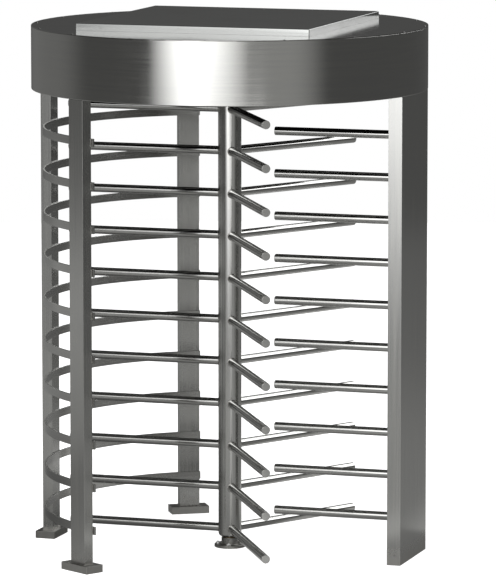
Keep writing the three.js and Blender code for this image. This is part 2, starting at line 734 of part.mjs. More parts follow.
// Lid plate: a disc with a square hatch, an upstand around it and the hinge lugs behind it
function canopyLid() {
  const hatchHalf = COVER_SIZE / 2 - HATCH_MARGIN;
  const curbHalf = hatchHalf + CURB_WALL;
  const plateBottom = canopyTop - CANOPY_LID;
  const curbTop = canopyTop + COVER_HEIGHT - COVER_WALL - SEAT_GAP;
  const plate = toSolid(rod(canopyRadius, plateBottom, canopyTop, CANOPY_SIDES));
  const curb = toSolid(block([-curbHalf, curbHalf], [-curbHalf, curbHalf], [plateBottom, curbTop]));
  const hatch = toSolid(block(
    [-hatchHalf, hatchHalf],
    [-hatchHalf, hatchHalf],
    [plateBottom - OVERRUN, curbTop + OVERRUN],
  ));
  const lugs = hingeMiddles().flatMap(hingeLugs);
  return piece('canopy_lid', toGeometry(join(cut(join(plate, curb), hatch), ...lugs)), darkSheetSteel());
}

// Service cover: a shallow square pan turned upside down, with a knuckle for each hinge
function serviceCover() {
  const half = COVER_SIZE / 2;
  const bottom = canopyTop + SEAT_GAP;
  const top = canopyTop + COVER_HEIGHT;
  const shell = toSolid(block([-half, half], [-half, half], [bottom, top]));
  const inside = toSolid(block(
    [COVER_WALL - half, half - COVER_WALL],
    [COVER_WALL - half, half - COVER_WALL],
    [bottom - OVERRUN, top - COVER_WALL],
  ));
  const axis = hingeAxis();
  const radius = KNUCKLE_DIAMETER / 2;
  const parts = [];
  const bores = [];
  for (const middle of hingeMiddles()) {
    const [x0, x1] = [middle - KNUCKLE_LENGTH / 2, middle + KNUCKLE_LENGTH / 2];
    const leaf = block(
      [x0, x1],
      [half - WELD_SINK, axis.y],
      [axis.z - LEAF_THICKNESS / 2, axis.z + LEAF_THICKNESS / 2],
    );
    const knuckle = crossRod(radius, x0, x1, HINGE_SIDES).translate(0, axis.y, axis.z);
    const boreRadius = HINGE_PIN_DIAMETER / 2 + FIT_GAP;
    const bore = crossRod(boreRadius, x0 - OVERRUN, x1 + OVERRUN, HINGE_SIDES).translate(0, axis.y, axis.z);
    parts.push(toSolid(leaf), toSolid(knuckle));
    bores.push(toSolid(bore));
  }
  return piece('service_cover', toGeometry(cut(join(cut(shell, inside), ...parts), ...bores)), brushedSteel());
}

// The rotor group turns about Z as one body
const rotor = new THREE.Group();
rotor.add(rotorColumn(), topShaft(), indexWheel());
for (let wing = 0; wing < WING_COUNT; wing += 1) {
  rotor.add(rotorWing(wing));
}

const cage = new THREE.Group();
cage.add(...cagePosts());
for (let level = 0; level < LEVEL_COUNT - 1; level += 1) {
  cage.add(cageBar(level));
}

const head = new THREE.Group();
head.add(headFrame(), topBearing(), canopyCasing(), canopyLid(), serviceCover());
head.add(lockingPawl('locking_pawl_entry', 1), lockingPawl('locking_pawl_exit', -1));

const turnstile = new THREE.Group();
turnstile.add(baseFlange(), baseBush(), rotor, combPost(), combBarrier(), cage, head);

export default turnstile;
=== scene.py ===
import math

import bpy
from mathutils import Matrix, Vector


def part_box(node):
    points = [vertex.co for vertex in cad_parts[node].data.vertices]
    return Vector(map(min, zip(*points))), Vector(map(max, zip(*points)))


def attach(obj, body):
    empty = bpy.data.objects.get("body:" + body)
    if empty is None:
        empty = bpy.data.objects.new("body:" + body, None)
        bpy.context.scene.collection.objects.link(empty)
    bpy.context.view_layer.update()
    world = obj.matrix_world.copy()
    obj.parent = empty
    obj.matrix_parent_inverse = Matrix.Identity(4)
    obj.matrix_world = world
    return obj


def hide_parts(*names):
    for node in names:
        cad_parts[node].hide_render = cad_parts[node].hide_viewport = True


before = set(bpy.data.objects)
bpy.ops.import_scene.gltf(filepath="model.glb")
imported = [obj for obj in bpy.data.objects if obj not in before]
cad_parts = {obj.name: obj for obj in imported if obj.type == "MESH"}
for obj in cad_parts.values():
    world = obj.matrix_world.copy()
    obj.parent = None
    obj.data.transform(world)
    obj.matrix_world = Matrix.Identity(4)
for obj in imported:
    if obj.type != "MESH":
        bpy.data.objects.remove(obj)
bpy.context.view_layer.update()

# Everything is in metres, in the frame of the turnstile: the rotor's axis is Z and the floor is at zero

# Camera, at the photograph's viewing angle
CAMERA_TURN = math.radians(17.916)
CAMERA_RISE = math.radians(7.888)
CAMERA_DISTANCE = 20.9176
CAMERA_AIM_ACROSS = 0.081306
CAMERA_AIM_HEIGHT = 1.157855
CAMERA_LENS = 287.84
CAMERA_SENSOR = 36

# Rotor
ARM_RADIUS = 0.019
ARM_TIP = 0.760
ARM_ROOT = 0.035
ARM_CAP = 0.004
TUBE_RIM = 0.0012
CAP_GROOVE = 0.0004
COLUMN_RADIUS = 0.052
COLUMN_BORE = 0.047
COLUMN_FLOOR = 0.014
COLUMN_FLOOR_HOLE = 0.0223
COLUMN_CORNER = 0.018
WING_ANGLES = {1: math.pi, 2: math.radians(300), 3: math.radians(60)}
LEVELS = 11

# Base flange
FLANGE_RADIUS = 0.070
FLANGE_THICKNESS = 0.013
STUB_RADIUS = 0.0385
STUB_TOP = 0.043
JOURNAL_RADIUS = 0.017
JOURNAL_TOP = 0.083
ANCHOR_CIRCLE = 0.054
ANCHOR_TURN = math.radians(-80)
ANCHOR_WASHER = 0.002
ANCHOR_NUT = 0.0170
ANCHOR_DOME = 0.0082
ANCHOR_DOME_BOTTOM = 0.0042
ANCHOR_DOME_RISE = 0.0068

# Cage and posts
BAR_INNER = 0.825
BAR_OUTER = 0.833
BAR_HEIGHT = 0.036
BAR_BACK_END = math.radians(121.2) - 0.050 / 0.833
BAR_FRONT_END = math.radians(238.8) + 0.0575 / 0.833
POST_INNER = 0.8333
POST_OUTER = 0.8813
POST_WIDTH = 0.094
POST_CORNER = 0.0006
POST_END = 0.0004
FOOT_CENTRE = 0.8573
FOOT_LENGTH = 0.178
FOOT_WIDTH = 0.092
FOOT_THICKNESS = 0.034
FOOT_CORNER = 0.0015
CAGE_POSTS = {
    "cage_post_middle": math.pi,
    "cage_post_front": math.radians(238.8),
    "cage_post_back": math.radians(121.2),
}

# Weld beads: how far they stand off the tube, and their radii
WELD_STAND = 0.0004
ARM_WELD = 0.0018
COMB_WELD = 0.0016
FOOT_WELD = 0.0020
BAR_WELD = 0.0017
BAR_WELD_REACH = 0.016

# Canopy
SEAT_GAP = 0.0003
CANOPY_WALL = 0.002
CANOPY_FLOOR = 0.003
CANOPY_ROLL = 0.003
CANOPY_RIM = 0.025
CANOPY_HOLE = 0.0645
LID_SCREWS = 16
COVER_WALL = 0.002
COVER_FOLD = 0.003
COVER_CORNER = 0.004
SEAL_SIDE = 1.022
SEAL_CORNER = 0.006
SEAL_RADIUS = 0.0050
SEAL_DROP = 0.008

# Mechanism under the service cover
BEARING_FLANGE = 0.012
BEARING_BOLT_CIRCLE = 0.052
PAWL_PIN = Vector((-0.070, 0.121, 0))
PAWL_SIDES = ((1, "entry"), (-1, "exit"))
PIN_RADIUS = 0.006
SOLENOID_X = -0.100
SOLENOID_FOOT = 0.028
SOLENOID_NEAR = 0.138
SOLENOID_WIDTH = 0.028
SOLENOID_LENGTH = 0.038
SOLENOID_SHEET = 0.003
SHEET_CORNER = 0.0012
SHEET_EDGE = 0.0004
BOBBIN_RADIUS = 0.0122
BOBBIN_CORE = 0.0098
BOBBIN_END = 0.0012
WINDING_TURNS = 14
PLUNGER_RADIUS = 0.0030
PLUNGER_LENGTH = 0.0102
SPRING_RADIUS = 0.0082
SPRING_WIRE = 0.0006
SPRING_LEG = 0.012
CLIP_RADIUS = 0.0098
CLIP_BOTTOM = 0.0062
CLIP_TOP = 0.0072

# Hinges of the service cover
HINGE_AXIS = Vector((0, 0.544, 2.3678))
HINGE_PLACES = (-0.320, 0.320)
KNUCKLE_RADIUS = 0.008
KNUCKLE_LENGTH = 0.044
KNUCKLE_BORE = 0.0043

# How far the grain of the steel is drawn out, and the colour of the dust low down
GRAIN_SQUEEZE = 0.012
DUST_COLOUR = (0.42, 0.40, 0.36, 1.0)

# Studio
FLOOR_RADIUS = 12.0
FLOOR_SIDES = 96
FLOOR_GLOW = 0.22
STRIP_ANGLE = math.radians(-61)
ROOM_GLOW = 0.085
ROOM_WHITE = (1.0, 1.0, 0.98)

ROUND_SIDES = 48
CANOPY_SIDES = 240
BAR_STEPS = 72
COIL_STEPS = 20
WIRE_SIDES = 8


# Shapes. Each function gives corners, faces and how exposed to wear each corner is.

def softened(corners, steps=4, closed=True):
    """Rounds the corners (x, y, radius) of an outline and gives points (x, y, wear)."""
    points = []
    last = len(corners) - 1
    for i, (x, y, radius) in enumerate(corners):
        if radius == 0 or (not closed and i in (0, last)):
            points.append((x, y, 0.0))
            continue
        here = Vector((x, y))
        back = (Vector(corners[i - 1][:2]) - here).normalized()
        ahead = (Vector(corners[(i + 1) % len(corners)][:2]) - here).normalized()
        half = back.angle(ahead) / 2
        centre = here + (back + ahead).normalized() * (radius / math.sin(half))
        start = here + back * (radius / math.tan(half)) - centre
        end = here + ahead * (radius / math.tan(half)) - centre
        sweep = math.atan2(start.x * end.y - start.y * end.x, start.dot(end))
        for k in range(steps + 1):
            turn = sweep * k / steps
            cos, sin = math.cos(turn), math.sin(turn)
            point = centre + Vector((start.x * cos - start.y * sin, start.x * sin + start.y * cos))
            points.append((point.x, point.y, math.sin(math.pi * k / steps)))
    return points


def lathed(profile, sides=ROUND_SIDES, ring=False):
    """Turns a profile of (radius, height, wear) round Z. A ring profile closes on itself."""
    corners, faces, wear, rows = [], [], [], []
    for radius, height, worn in profile:
        if radius < 1e-7:
            rows.append([len(corners)])
            corners.append((0.0, 0.0, height))
            wear.append(worn)
            continue
        rows.append([len(corners) + i for i in range(sides)])
        for i in range(sides):
            turn = 2 * math.pi * i / sides
            corners.append((radius * math.cos(turn), radius * math.sin(turn), height))
            wear.append(worn)
    pairs = list(zip(rows, rows[1:])) + ([(rows[-1], rows[0])] if ring else [])
    for low, high in pairs:
        for i in range(sides):
            j = (i + 1) % sides
            if len(low) == 1:
                faces.append((low[0], high[j], high[i]))
            elif len(high) == 1:
                faces.append((low[i], low[j], high[0]))
            else:
                faces.append((low[i], low[j], high[j], high[i]))
    return corners, faces, wear


def ring_faces(count, sides, closed=False, mirrored=False):
    """Faces between rings of corners in a row, with end caps unless the row closes on itself."""
    faces = []
    for i in range(count if closed else count - 1):
        low, high = i * sides, (i + 1) % count * sides
        for k in range(sides):
            m = (k + 1) % sides
            if mirrored:
                faces.append((low + k, high + k, high + m, low + m))
            else:
                faces.append((low + k, low + m, high + m, high + k))
    if not closed:
        first, last = range(sides), range((count - 1) * sides, count * sides)
        caps = (first, reversed(last)) if mirrored else (reversed(first), last)
        faces += [tuple(cap) for cap in caps]
    return faces


def ring_corners(centre, one, two, radius, sides):
    turns = [2 * math.pi * k / sides for k in range(sides)]
    return [tuple(centre + (one * math.cos(turn) + two * math.sin(turn)) * radius) for turn in turns]


def rounded_rectangle(width, depth, corner, steps=4):
    """Outline about the origin, anticlockwise, as points (x, y, wear)."""
    x, y = width / 2, depth / 2
    return softened([(-x, -y, corner), (x, -y, corner), (x, y, corner), (-x, y, corner)], steps)


def stacked(rings):
    """Closed body through rings of ((x, y, wear) points, height, wear), all with as many points."""
    corners, wear = [], []
    for outline, height, worn in rings:
        corners += [(x, y, height) for x, y, _ in outline]
        wear += [max(worn, edge) for _, _, edge in outline]
    return corners, ring_faces(len(rings), len(rings[0][0])), wear


def box_bar(width, depth, corner, edge, bottom, top, steps=3):
    """Upright bar of rounded rectangular section with softened ends."""
    rings = []
    for end, way in ((bottom, 1), (top, -1)):
        part = []
        for k in range(steps + 1):
            turn = math.pi / 2 * k / steps
            inset = edge * (1 - math.sin(turn))
            rise = edge * (1 - math.cos(turn))
            outline = rounded_rectangle(width - 2 * inset, depth - 2 * inset, corner - inset)
            part.append((outline, end + way * rise, math.sin(math.pi * k / steps)))
        rings += part if way > 0 else part[::-1]
    return stacked(rings)


def capped_tube(length):
    """Closed tube along Z from zero, with a softened far rim and the fine seam of its end cap."""
    seam = length - ARM_CAP
    outline = [
        (0, 0, 0),
        (ARM_RADIUS, 0, 0),
        (ARM_RADIUS, seam - CAP_GROOVE, 0),
        (ARM_RADIUS - CAP_GROOVE, seam, 0),
        (ARM_RADIUS, seam + CAP_GROOVE, 0),
        (ARM_RADIUS, length, TUBE_RIM),
        (0, length, 0),
    ]
    return lathed(softened(outline, closed=False))


def signed_volume(corners, faces):
    """Volume inside closed faces, negative where they face inwards."""
    total = 0.0
    for face in faces:
        first = Vector(corners[face[0]])
        for i in range(1, len(face) - 1):
            total += first.dot(Vector(corners[face[i]]).cross(Vector(corners[face[i + 1]]))) / 6
    return total


def swept_loop(centres, frames, radius, sides=8):
    """Round bead along a closed loop of points. frames gives the two directions across it at each."""
    corners = []
    for i, (centre, (one, two)) in enumerate(zip(centres, frames)):
        ripple = radius * (1 + 0.10 * math.sin(i * 2.4))
        corners += ring_corners(centre, one, two, ripple, sides)
    faces = ring_faces(len(centres), sides, closed=True)
    if signed_volume(corners, faces) < 0:
        faces = [tuple(reversed(face)) for face in faces]
    return corners, faces, [0.0] * len(corners)


def swept_line(centres, one, two, radius, sides=8):
    """Round bead along an open line of points, tapered at both ends."""
    corners = []
    for i, centre in enumerate(centres):
        taper = 0.35 if i in (0, len(centres) - 1) else 1
        ripple = radius * taper * (1 + 0.12 * math.sin(i * 2.4))
        corners += ring_corners(centre, one, two, ripple, sides)
    return corners, ring_faces(len(centres), sides), [0.0] * len(corners)


def tube_weld(radius, steps, x_at):
    """Bead round a tube that lies along X. x_at gives how far along it sits for a y."""
    centres, frames = [], []
    for i in range(steps):
        turn = 2 * math.pi * i / steps
        y, z = ARM_RADIUS * math.cos(turn), ARM_RADIUS * math.sin(turn)
        outward = Vector((0, math.cos(turn), math.sin(turn)))
        centres.append(Vector((x_at(y), y, z)) + outward * WELD_STAND)
        frames.append((Vector((1, 0, 0)), outward))
    return swept_loop(centres, frames, radius)


def level_frames(path):
    """Directions across a closed level path at each of its points."""
    frames = []
    for before, after in zip(path[-1:] + path[:-1], path[1:] + path[:1]):
        course = (after - before).normalized()
        frames.append((Vector((course.y, -course.x, 0)), Vector((0, 0, 1))))
    return frames


def merged(shapes):
    """Several shapes as one."""
    corners, faces, wear = [], [], []
    for some_corners, some_faces, some_wear in shapes:
        start = len(corners)
        corners += some_corners
        faces += [tuple(start + i for i in face) for face in some_faces]
        wear += some_wear
    return corners, faces, wear


def moved(shape, matrix):
    corners, faces, wear = shape
    return [tuple(matrix @ Vector(c)) for c in corners], faces, wear


def new_object(name, data):
    thing = bpy.data.objects.new(name, data)
    bpy.context.scene.collection.objects.link(thing)
    return thing


def add_piece(name, shape, finish, place):
    """Makes an object of a shape. Faces that meet at less than 32 degrees are shaded as one, and a large
    face keeps its own direction up to its softened edges."""
    corners, faces, wear = shape
    mesh = bpy.data.meshes.new(name)
    mesh.from_pydata(corners, [], faces)
    worn = mesh.attributes.new("worn_edge", "FLOAT", "POINT")
    worn.data.foreach_set("value", wear)
    mesh.polygons.foreach_set("use_smooth", [True] * len(mesh.polygons))
    mesh.set_sharp_from_angle(angle=math.radians(32))
    mesh.materials.append(finish)
    piece = new_object(name, mesh)
    if place:
        piece.matrix_world = place
    level = piece.modifiers.new("level_faces", "WEIGHTED_NORMAL")
    level.mode = "FACE_AREA"
    level.keep_sharp = True
    return piece


def fit(name, shape, finish, place, body, slot, *nodes):
    """Adds a piece that rides on a body and stands for the CAD nodes given. slot is not used."""
    piece = add_piece(name, shape, finish, place)
    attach(piece, body)
    if nodes:
        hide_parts(*nodes)
    return piece


def upright_turn(angle):
    return Matrix.Rotation(angle, 4, "Z")


def shift(x, y, z):
    return Matrix.Translation((x, y, z))


def out_at(angle, radius, z):
    return shift(radius * math.cos(angle), radius * math.sin(angle), z)


def lying_along(angle, x, y, z):
    """Turns a shape drawn along Z to lie level, pointing at a plan angle."""
    return shift(x, y, z) @ upright_turn(angle) @ Matrix.Rotation(math.pi / 2, 4, "Y")


# Finishes: effects that several of them share

def new_effect(name, inputs, outputs):
    group = bpy.data.node_groups.new(name, "ShaderNodeTree")
    for label, kind, value in inputs:
        socket = group.interface.new_socket(label, in_out="INPUT", socket_type=kind)
        if value is not None:
            socket.default_value = value
    for label in outputs:
        group.interface.new_socket(label, in_out="OUTPUT", socket_type="NodeSocketFloat")
    return group, group.nodes.new("NodeGroupInput"), group.nodes.new("NodeGroupOutput")


def feed(tree, socket, value):
    if isinstance(value, bpy.types.NodeSocket):
        tree.links.new(value, socket)
    elif value is not None:
        socket.default_value = value


def calculate(tree, operation, first, second=None, third=None):
    node = tree.nodes.new("ShaderNodeMath")
    node.operation = operation
    for socket, value in zip(node.inputs, (first, second, third)):
        feed(tree, socket, value)
    return node.outputs["Value"]


def noise(tree, vector, scale, detail=2.0, roughness=0.5):
    node = tree.nodes.new("ShaderNodeTexNoise")
    feed(tree, node.inputs["Vector"], vector)
    feed(tree, node.inputs["Scale"], scale)
    feed(tree, node.inputs["Detail"], detail)
    feed(tree, node.inputs["Roughness"], roughness)
    return node.outputs["Fac"]


def ramp(tree, value, low, high, from_value=0.0, to_value=1.0):
    """Runs smoothly from one value to the other as the input goes from low to high."""
    node = tree.nodes.new("ShaderNodeMapRange")
    node.interpolation_type = "SMOOTHSTEP"
    feed(tree, node.inputs["Value"], value)
    feed(tree, node.inputs["From Min"], low)
    feed(tree, node.inputs["From Max"], high)
    feed(tree, node.inputs["To Min"], from_value)
    feed(tree, node.inputs["To Max"], to_value)
    return node.outputs["Result"]


def product(tree, first, *others):
    for other in others:
        first = calculate(tree, "MULTIPLY", first, other)
    return first


def split_axes(tree, vector):
    node = tree.nodes.new("ShaderNodeSeparateXYZ")
    tree.links.new(vector, node.inputs["Vector"])
    return node.outputs


def object_place(tree):
    return tree.nodes.new("ShaderNodeTexCoord").outputs["Object"]


def blend_colours(tree, amount, first, second):
    node = tree.nodes.new("ShaderNodeMix")
    node.data_type = "RGBA"
    feed(tree, node.inputs[0], amount)
    feed(tree, node.inputs[6], first)
    feed(tree, node.inputs[7], second)
    return node.outputs[2]


def make_brush_grain():
    """Fine parallel scratches, for a vector that is already squeezed along them."""
    group, enter, leave = new_effect(
        "brush_grain",
        [("Vector", "NodeSocketVector", None), ("Fineness", "NodeSocketFloat", 900.0)],
        ["Height", "Streak"],
    )
    fine = noise(group, enter.outputs["Vector"], enter.outputs["Fineness"], 3.0, 0.6)
    wide_scale = calculate(group, "MULTIPLY", enter.outputs["Fineness"], 0.14)
    wide = noise(group, enter.outputs["Vector"], wide_scale, 2.0)
    height = calculate(group, "MULTIPLY_ADD", wide, 0.35, fine)
    group.links.new(height, leave.inputs["Height"])
    group.links.new(wide, leave.inputs["Streak"])
    return group


def make_handling_marks():
    """Cloudy patches where hands and cloths have dulled the polish."""
    group, enter, leave = new_effect(
        "handling_marks",
        [("Vector", "NodeSocketVector", None), ("Size", "NodeSocketFloat", 4.0)],
        ["Mask"],
    )
    cloud = noise(group, enter.outputs["Vector"], enter.outputs["Size"], 4.0, 0.62)
    group.links.new(ramp(group, cloud, 0.48, 0.72), leave.inputs["Mask"])
    return group


def make_floor_dust():
    """Dust that gathers low down, thinning out over the given reach."""
    group, enter, leave = new_effect(
        "floor_dust",
        [("Vector", "NodeSocketVector", None), ("Reach", "NodeSocketFloat", 0.12)],
        ["Mask"],
    )
    patches = noise(group, enter.outputs["Vector"], 38.0, 4.0, 0.6)
    height = calculate(group, "DIVIDE", split_axes(group, enter.outputs["Vector"])["Z"], enter.outputs["Reach"])
    ragged = calculate(group, "MULTIPLY_ADD", patches, -0.9, height)
    group.links.new(ramp(group, ragged, 0.35, -0.45), leave.inputs["Mask"])
    return group


def make_edge_wear():
    """Bare and rubbed edges, broken up by noise."""
    group, enter, leave = new_effect(
        "edge_wear",
        [("Vector", "NodeSocketVector", None), ("Edge", "NodeSocketFloat", 0.0)],
        ["Mask"],
    )
    broken = noise(group, enter.outputs["Vector"], 120.0, 4.0, 0.65)
    worn = calculate(group, "MULTIPLY", broken, enter.outputs["Edge"])
    group.links.new(ramp(group, worn, 0.18, 0.5), leave.inputs["Mask"])
    return group


def make_round_course():
    """Coordinates that run round the rotor's axis: radius, way round squeezed, height."""
    group, enter, leave = new_effect("round_course", [("Vector", "NodeSocketVector", None)], [])
    group.interface.new_socket("Vector", in_out="OUTPUT", socket_type="NodeSocketVector")
    x, y, z = split_axes(group, enter.outputs["Vector"])
    radius = calculate(group, "SQRT", calculate(group, "ADD", product(group, x, x), product(group, y, y)))
    forward = calculate(group, "MULTIPLY", y, -1.0)
    around = calculate(group, "MULTIPLY", calculate(group, "ARCTAN2", x, forward), 0.02)
    course = group.nodes.new("ShaderNodeCombineXYZ")
    for socket, value in zip(course.inputs, (radius, around, z)):
        group.links.new(value, socket)
    group.links.new(course.outputs["Vector"], leave.inputs["Vector"])
    return group


EFFECTS = {
    "brush_grain": make_brush_grain(),
    "handling_marks": make_handling_marks(),
    "floor_dust": make_floor_dust(),
    "edge_wear": make_edge_wear(),
    "round_course": make_round_course(),
}


def effect(tree, name, vector, **values):
    node = tree.nodes.new("ShaderNodeGroup")
    node.node_tree = EFFECTS[name]
    feed(tree, node.inputs["Vector"], vector)
    for label, value in values.items():
        feed(tree, node.inputs[label], value)
    return node.outputs


def squeezed(tree, vector, factors):
    node = tree.nodes.new("ShaderNodeVectorMath")
    node.operation = "MULTIPLY"
    feed(tree, node.inputs[0], vector)
    node.inputs[1].default_value = factors
    return node.outputs["Vector"]


def new_material(name):
    material = bpy.data.materials.new(name)
    material.use_nodes = True
    return material, material.node_tree


def rubbed_edges(tree, place):
    edge = tree.nodes.new("ShaderNodeAttribute")
    edge.attribute_name = "worn_edge"
    return effect(tree, "edge_wear", place, Edge=edge.outputs["Fac"])["Mask"]


def join_shader(tree, colour, rough, height, depth, distance):
    """Joins colour, roughness and a bump to the material's own shader."""
    shader = tree.nodes["Principled BSDF"]
    tree.links.new(colour, shader.inputs["Base Color"])
    tree.links.new(rough, shader.inputs["Roughness"])
    bump = tree.nodes.new("ShaderNodeBump")
    bump.inputs["Strength"].default_value = depth
    bump.inputs["Distance"].default_value = distance
    tree.links.new(height, bump.inputs["Height"])
    tree.links.new(bump.outputs["Normal"], shader.inputs["Normal"])


def stainless(name, light, dark, roughness, course, fineness=900.0, grain_depth=0.05, dust=0.0):
    """Brushed stainless steel. course is how its scratches run: along, across or round."""
    material, tree = new_material(name)
    tree.nodes["Principled BSDF"].inputs["Metallic"].default_value = 1.0
    place = object_place(tree)
    if course == "round":
        grain_place = effect(tree, "round_course", place)["Vector"]
    elif course == "along":
        grain_place = squeezed(tree, place, (1.0, 1.0, GRAIN_SQUEEZE))
    else:
        grain_place = squeezed(tree, place, (GRAIN_SQUEEZE, 1.0, 1.0))
    grain = effect(tree, "brush_grain", grain_place, Fineness=fineness)
    marks = effect(tree, "handling_marks", place, Size=3.2)["Mask"]
    rubbed = rubbed_edges(tree, place)
    colour = blend_colours(tree, ramp(tree, grain["Streak"], 0.3, 0.7), (*dark, 1.0), (*light, 1.0))
    bright = tuple(min(1.0, c * 1.22) for c in light)
    colour = blend_colours(tree, calculate(tree, "MULTIPLY", rubbed, 0.6), colour, (*bright, 1.0))
    rough = ramp(tree, grain["Streak"], 0.25, 0.75, roughness * 0.86, roughness * 1.14)
    rough = calculate(tree, "MULTIPLY_ADD", marks, 0.035, rough)
    if dust > 0:
        world = tree.nodes.new("ShaderNodeNewGeometry").outputs["Position"]
        low = effect(tree, "floor_dust", world, Reach=dust)["Mask"]
        colour = blend_colours(tree, calculate(tree, "MULTIPLY", low, 0.35), colour, DUST_COLOUR)
        rough = calculate(tree, "MULTIPLY_ADD", low, 0.22, rough)
    join_shader(tree, colour, rough, grain["Height"], grain_depth, 0.0002)
    return material


def coated(name, base, worn_to, roughness, gloss, texture_scale, texture_depth):
    """Paint, rubber or plastic with a fine surface texture, rubbed through at its edges."""
    material, tree = new_material(name)
    tree.nodes["Principled BSDF"].inputs["Specular IOR Level"].default_value = gloss
    place = object_place(tree)
    peel = noise(tree, place, texture_scale, 3.0, 0.55)
    marks = effect(tree, "handling_marks", place, Size=9.0)["Mask"]
    rubbed = rubbed_edges(tree, place)
    faded = tuple(c * 0.8 for c in base)
    colour = blend_colours(tree, marks, (*base, 1.0), (*faded, 1.0))
    colour = blend_colours(tree, calculate(tree, "MULTIPLY", rubbed, 0.7), colour, (*worn_to, 1.0))
    rough = calculate(tree, "MULTIPLY_ADD", marks, 0.1, roughness)
    join_shader(tree, colour, rough, peel, texture_depth, 0.0005)
    return material


TUBE_STEEL = stainless(
    "polished_tube_steel", (0.64, 0.64, 0.62), (0.60, 0.60, 0.59),
    0.12, "along", grain_depth=0.02, dust=0.10,
)
COLUMN_STEEL = stainless(
    "column_steel", (0.63, 0.63, 0.61), (0.58, 0.58, 0.57),
    0.16, "along", grain_depth=0.03, dust=0.12,
)
POST_STEEL = stainless(
    "post_steel", (0.61, 0.61, 0.59), (0.57, 0.57, 0.56),
    0.17, "along", grain_depth=0.03, dust=0.14,
)
BAR_STEEL = stainless(
    "cage_bar_steel", (0.60, 0.60, 0.58), (0.55, 0.55, 0.54),
    0.20, "round", grain_depth=0.03,
)
CANOPY_STEEL = stainless(
    "canopy_steel", (0.59, 0.59, 0.57), (0.57, 0.57, 0.56),
    0.13, "round", grain_depth=0.008,
)
# Painted shade: the lid's steel is darker than the casing's, so the lid's top reads dark. The lid screws share it.
LID_SHADED_STEEL = stainless(
    "lid_shaded_steel", (0.37, 0.365, 0.355), (0.34, 0.335, 0.33),
    0.12, "across", grain_depth=0.01,
)
COVER_STEEL = stainless(
    "cover_steel", (0.52, 0.53, 0.52), (0.49, 0.50, 0.49),
    0.12, "across", grain_depth=0.01,
)
MACHINED_STEEL = stainless(
    "machined_steel", (0.50, 0.50, 0.49), (0.40, 0.40, 0.39),
    0.30, "round", 1500.0, 0.12,
)
# Painted shade and dust: the flange's steel is darker than the other machined steel so its top reads dark, and dust
# gathers on it low down.
FLANGE_SHADED_STEEL = stainless(
    "flange_shaded_steel", (0.38, 0.38, 0.37), (0.30, 0.30, 0.29),
    0.24, "round", 1500.0, 0.1, 0.05,
)
WELD_STEEL = stainless("weld_bead_steel", (0.60, 0.59, 0.56), (0.44, 0.42, 0.40), 0.32, "across", 600.0, 0.3)
# Painted highlight: the anchor nuts' steel is far brighter than the other steel, so they catch a white glint.
BOLT_GLINT_STEEL = stainless("bolt_glint_steel", (0.98, 0.98, 0.97), (0.92, 0.92, 0.91), 0.48, "along", 2500.0, 0.1)
# Painted shade: the bush is much darker than bronze, as if in shadow under the column.
SHADED_BUSH_BRONZE = stainless("bush_bronze", (0.20, 0.15, 0.09), (0.13, 0.10, 0.065), 0.45, "round", 1500.0, 0.1)
FRAME_PAINT = coated("head_frame_paint", (0.045, 0.05, 0.055), (0.42, 0.41, 0.40), 0.48, 0.5, 420.0, 0.25)
# Painted shade: the canopy's underside is near black, standing in for the shade under it, so the tubes below mirror it
# dark.
UNDERSIDE_PAINTED_SHADE = coated(
    "canopy_underside_painted_shade", (0.008, 0.008, 0.008), (0.06, 0.06, 0.06),
    0.8, 0.05, 500.0, 0.2,
)
SEAL_RUBBER = coated("hatch_seal_rubber", (0.018, 0.018, 0.018), (0.05, 0.05, 0.05), 0.72, 0.4, 900.0, 0.35)
SPRING_STEEL = stainless("spring_steel", (0.45, 0.45, 0.46), (0.33, 0.33, 0.34), 0.25, "along", 1800.0, 0.1)
COIL_WIRE = stainless("coil_copper", (0.70, 0.33, 0.16), (0.50, 0.22, 0.10), 0.30, "along", 1400.0, 0.4)


# Rotor

def rotor_column():
    low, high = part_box("rotor_column")
    bottom, top = low.z, high.z
    outline = [
        (COLUMN_FLOOR_HOLE, bottom, 0),
        (COLUMN_RADIUS, bottom, COLUMN_CORNER),
        (COLUMN_RADIUS, top, 0),
        (COLUMN_BORE, top, 0),
        (COLUMN_BORE, bottom + COLUMN_FLOOR, 0),
        (COLUMN_FLOOR_HOLE, bottom + COLUMN_FLOOR, 0),
    ]
    shape = lathed([(x, y, 0.0) for x, y, _ in softened(outline, 10)], 96, ring=True)
    fit("column_tube", shape, COLUMN_STEEL, None, "rotor", "brushed_stainless", "rotor_column")


def arm_weld():
    """Bead where an arm meets the column, for an arm along X."""
    return tube_weld(ARM_WELD, 64, lambda y: math.sqrt(COLUMN_RADIUS ** 2 - y ** 2))


def rotor_arms():
    arm = capped_tube(ARM_TIP - ARM_ROOT)
    weld = arm_weld()
    for wing, angle in WING_ANGLES.items():
        along = Vector((math.cos(angle), math.sin(angle), 0))
        for level in range(1, LEVELS + 1):
            node = f"wing_{wing}_arm_{level:02d}"
            low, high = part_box(node)
            height = (low.z + high.z) / 2
            root = along * ARM_ROOT
            place = lying_along(angle, root.x, root.y, height)
            fit(f"{node}_tube", arm, TUBE_STEEL, place, "rotor", "brushed_stainless", node)
            weld_place = shift(0, 0, height) @ upright_turn(angle)
            fit(f"{node}_weld", weld, WELD_STEEL, weld_place, "rotor", "brushed_stainless")


rotor_column()
rotor_arms()


# Base flange on the floor

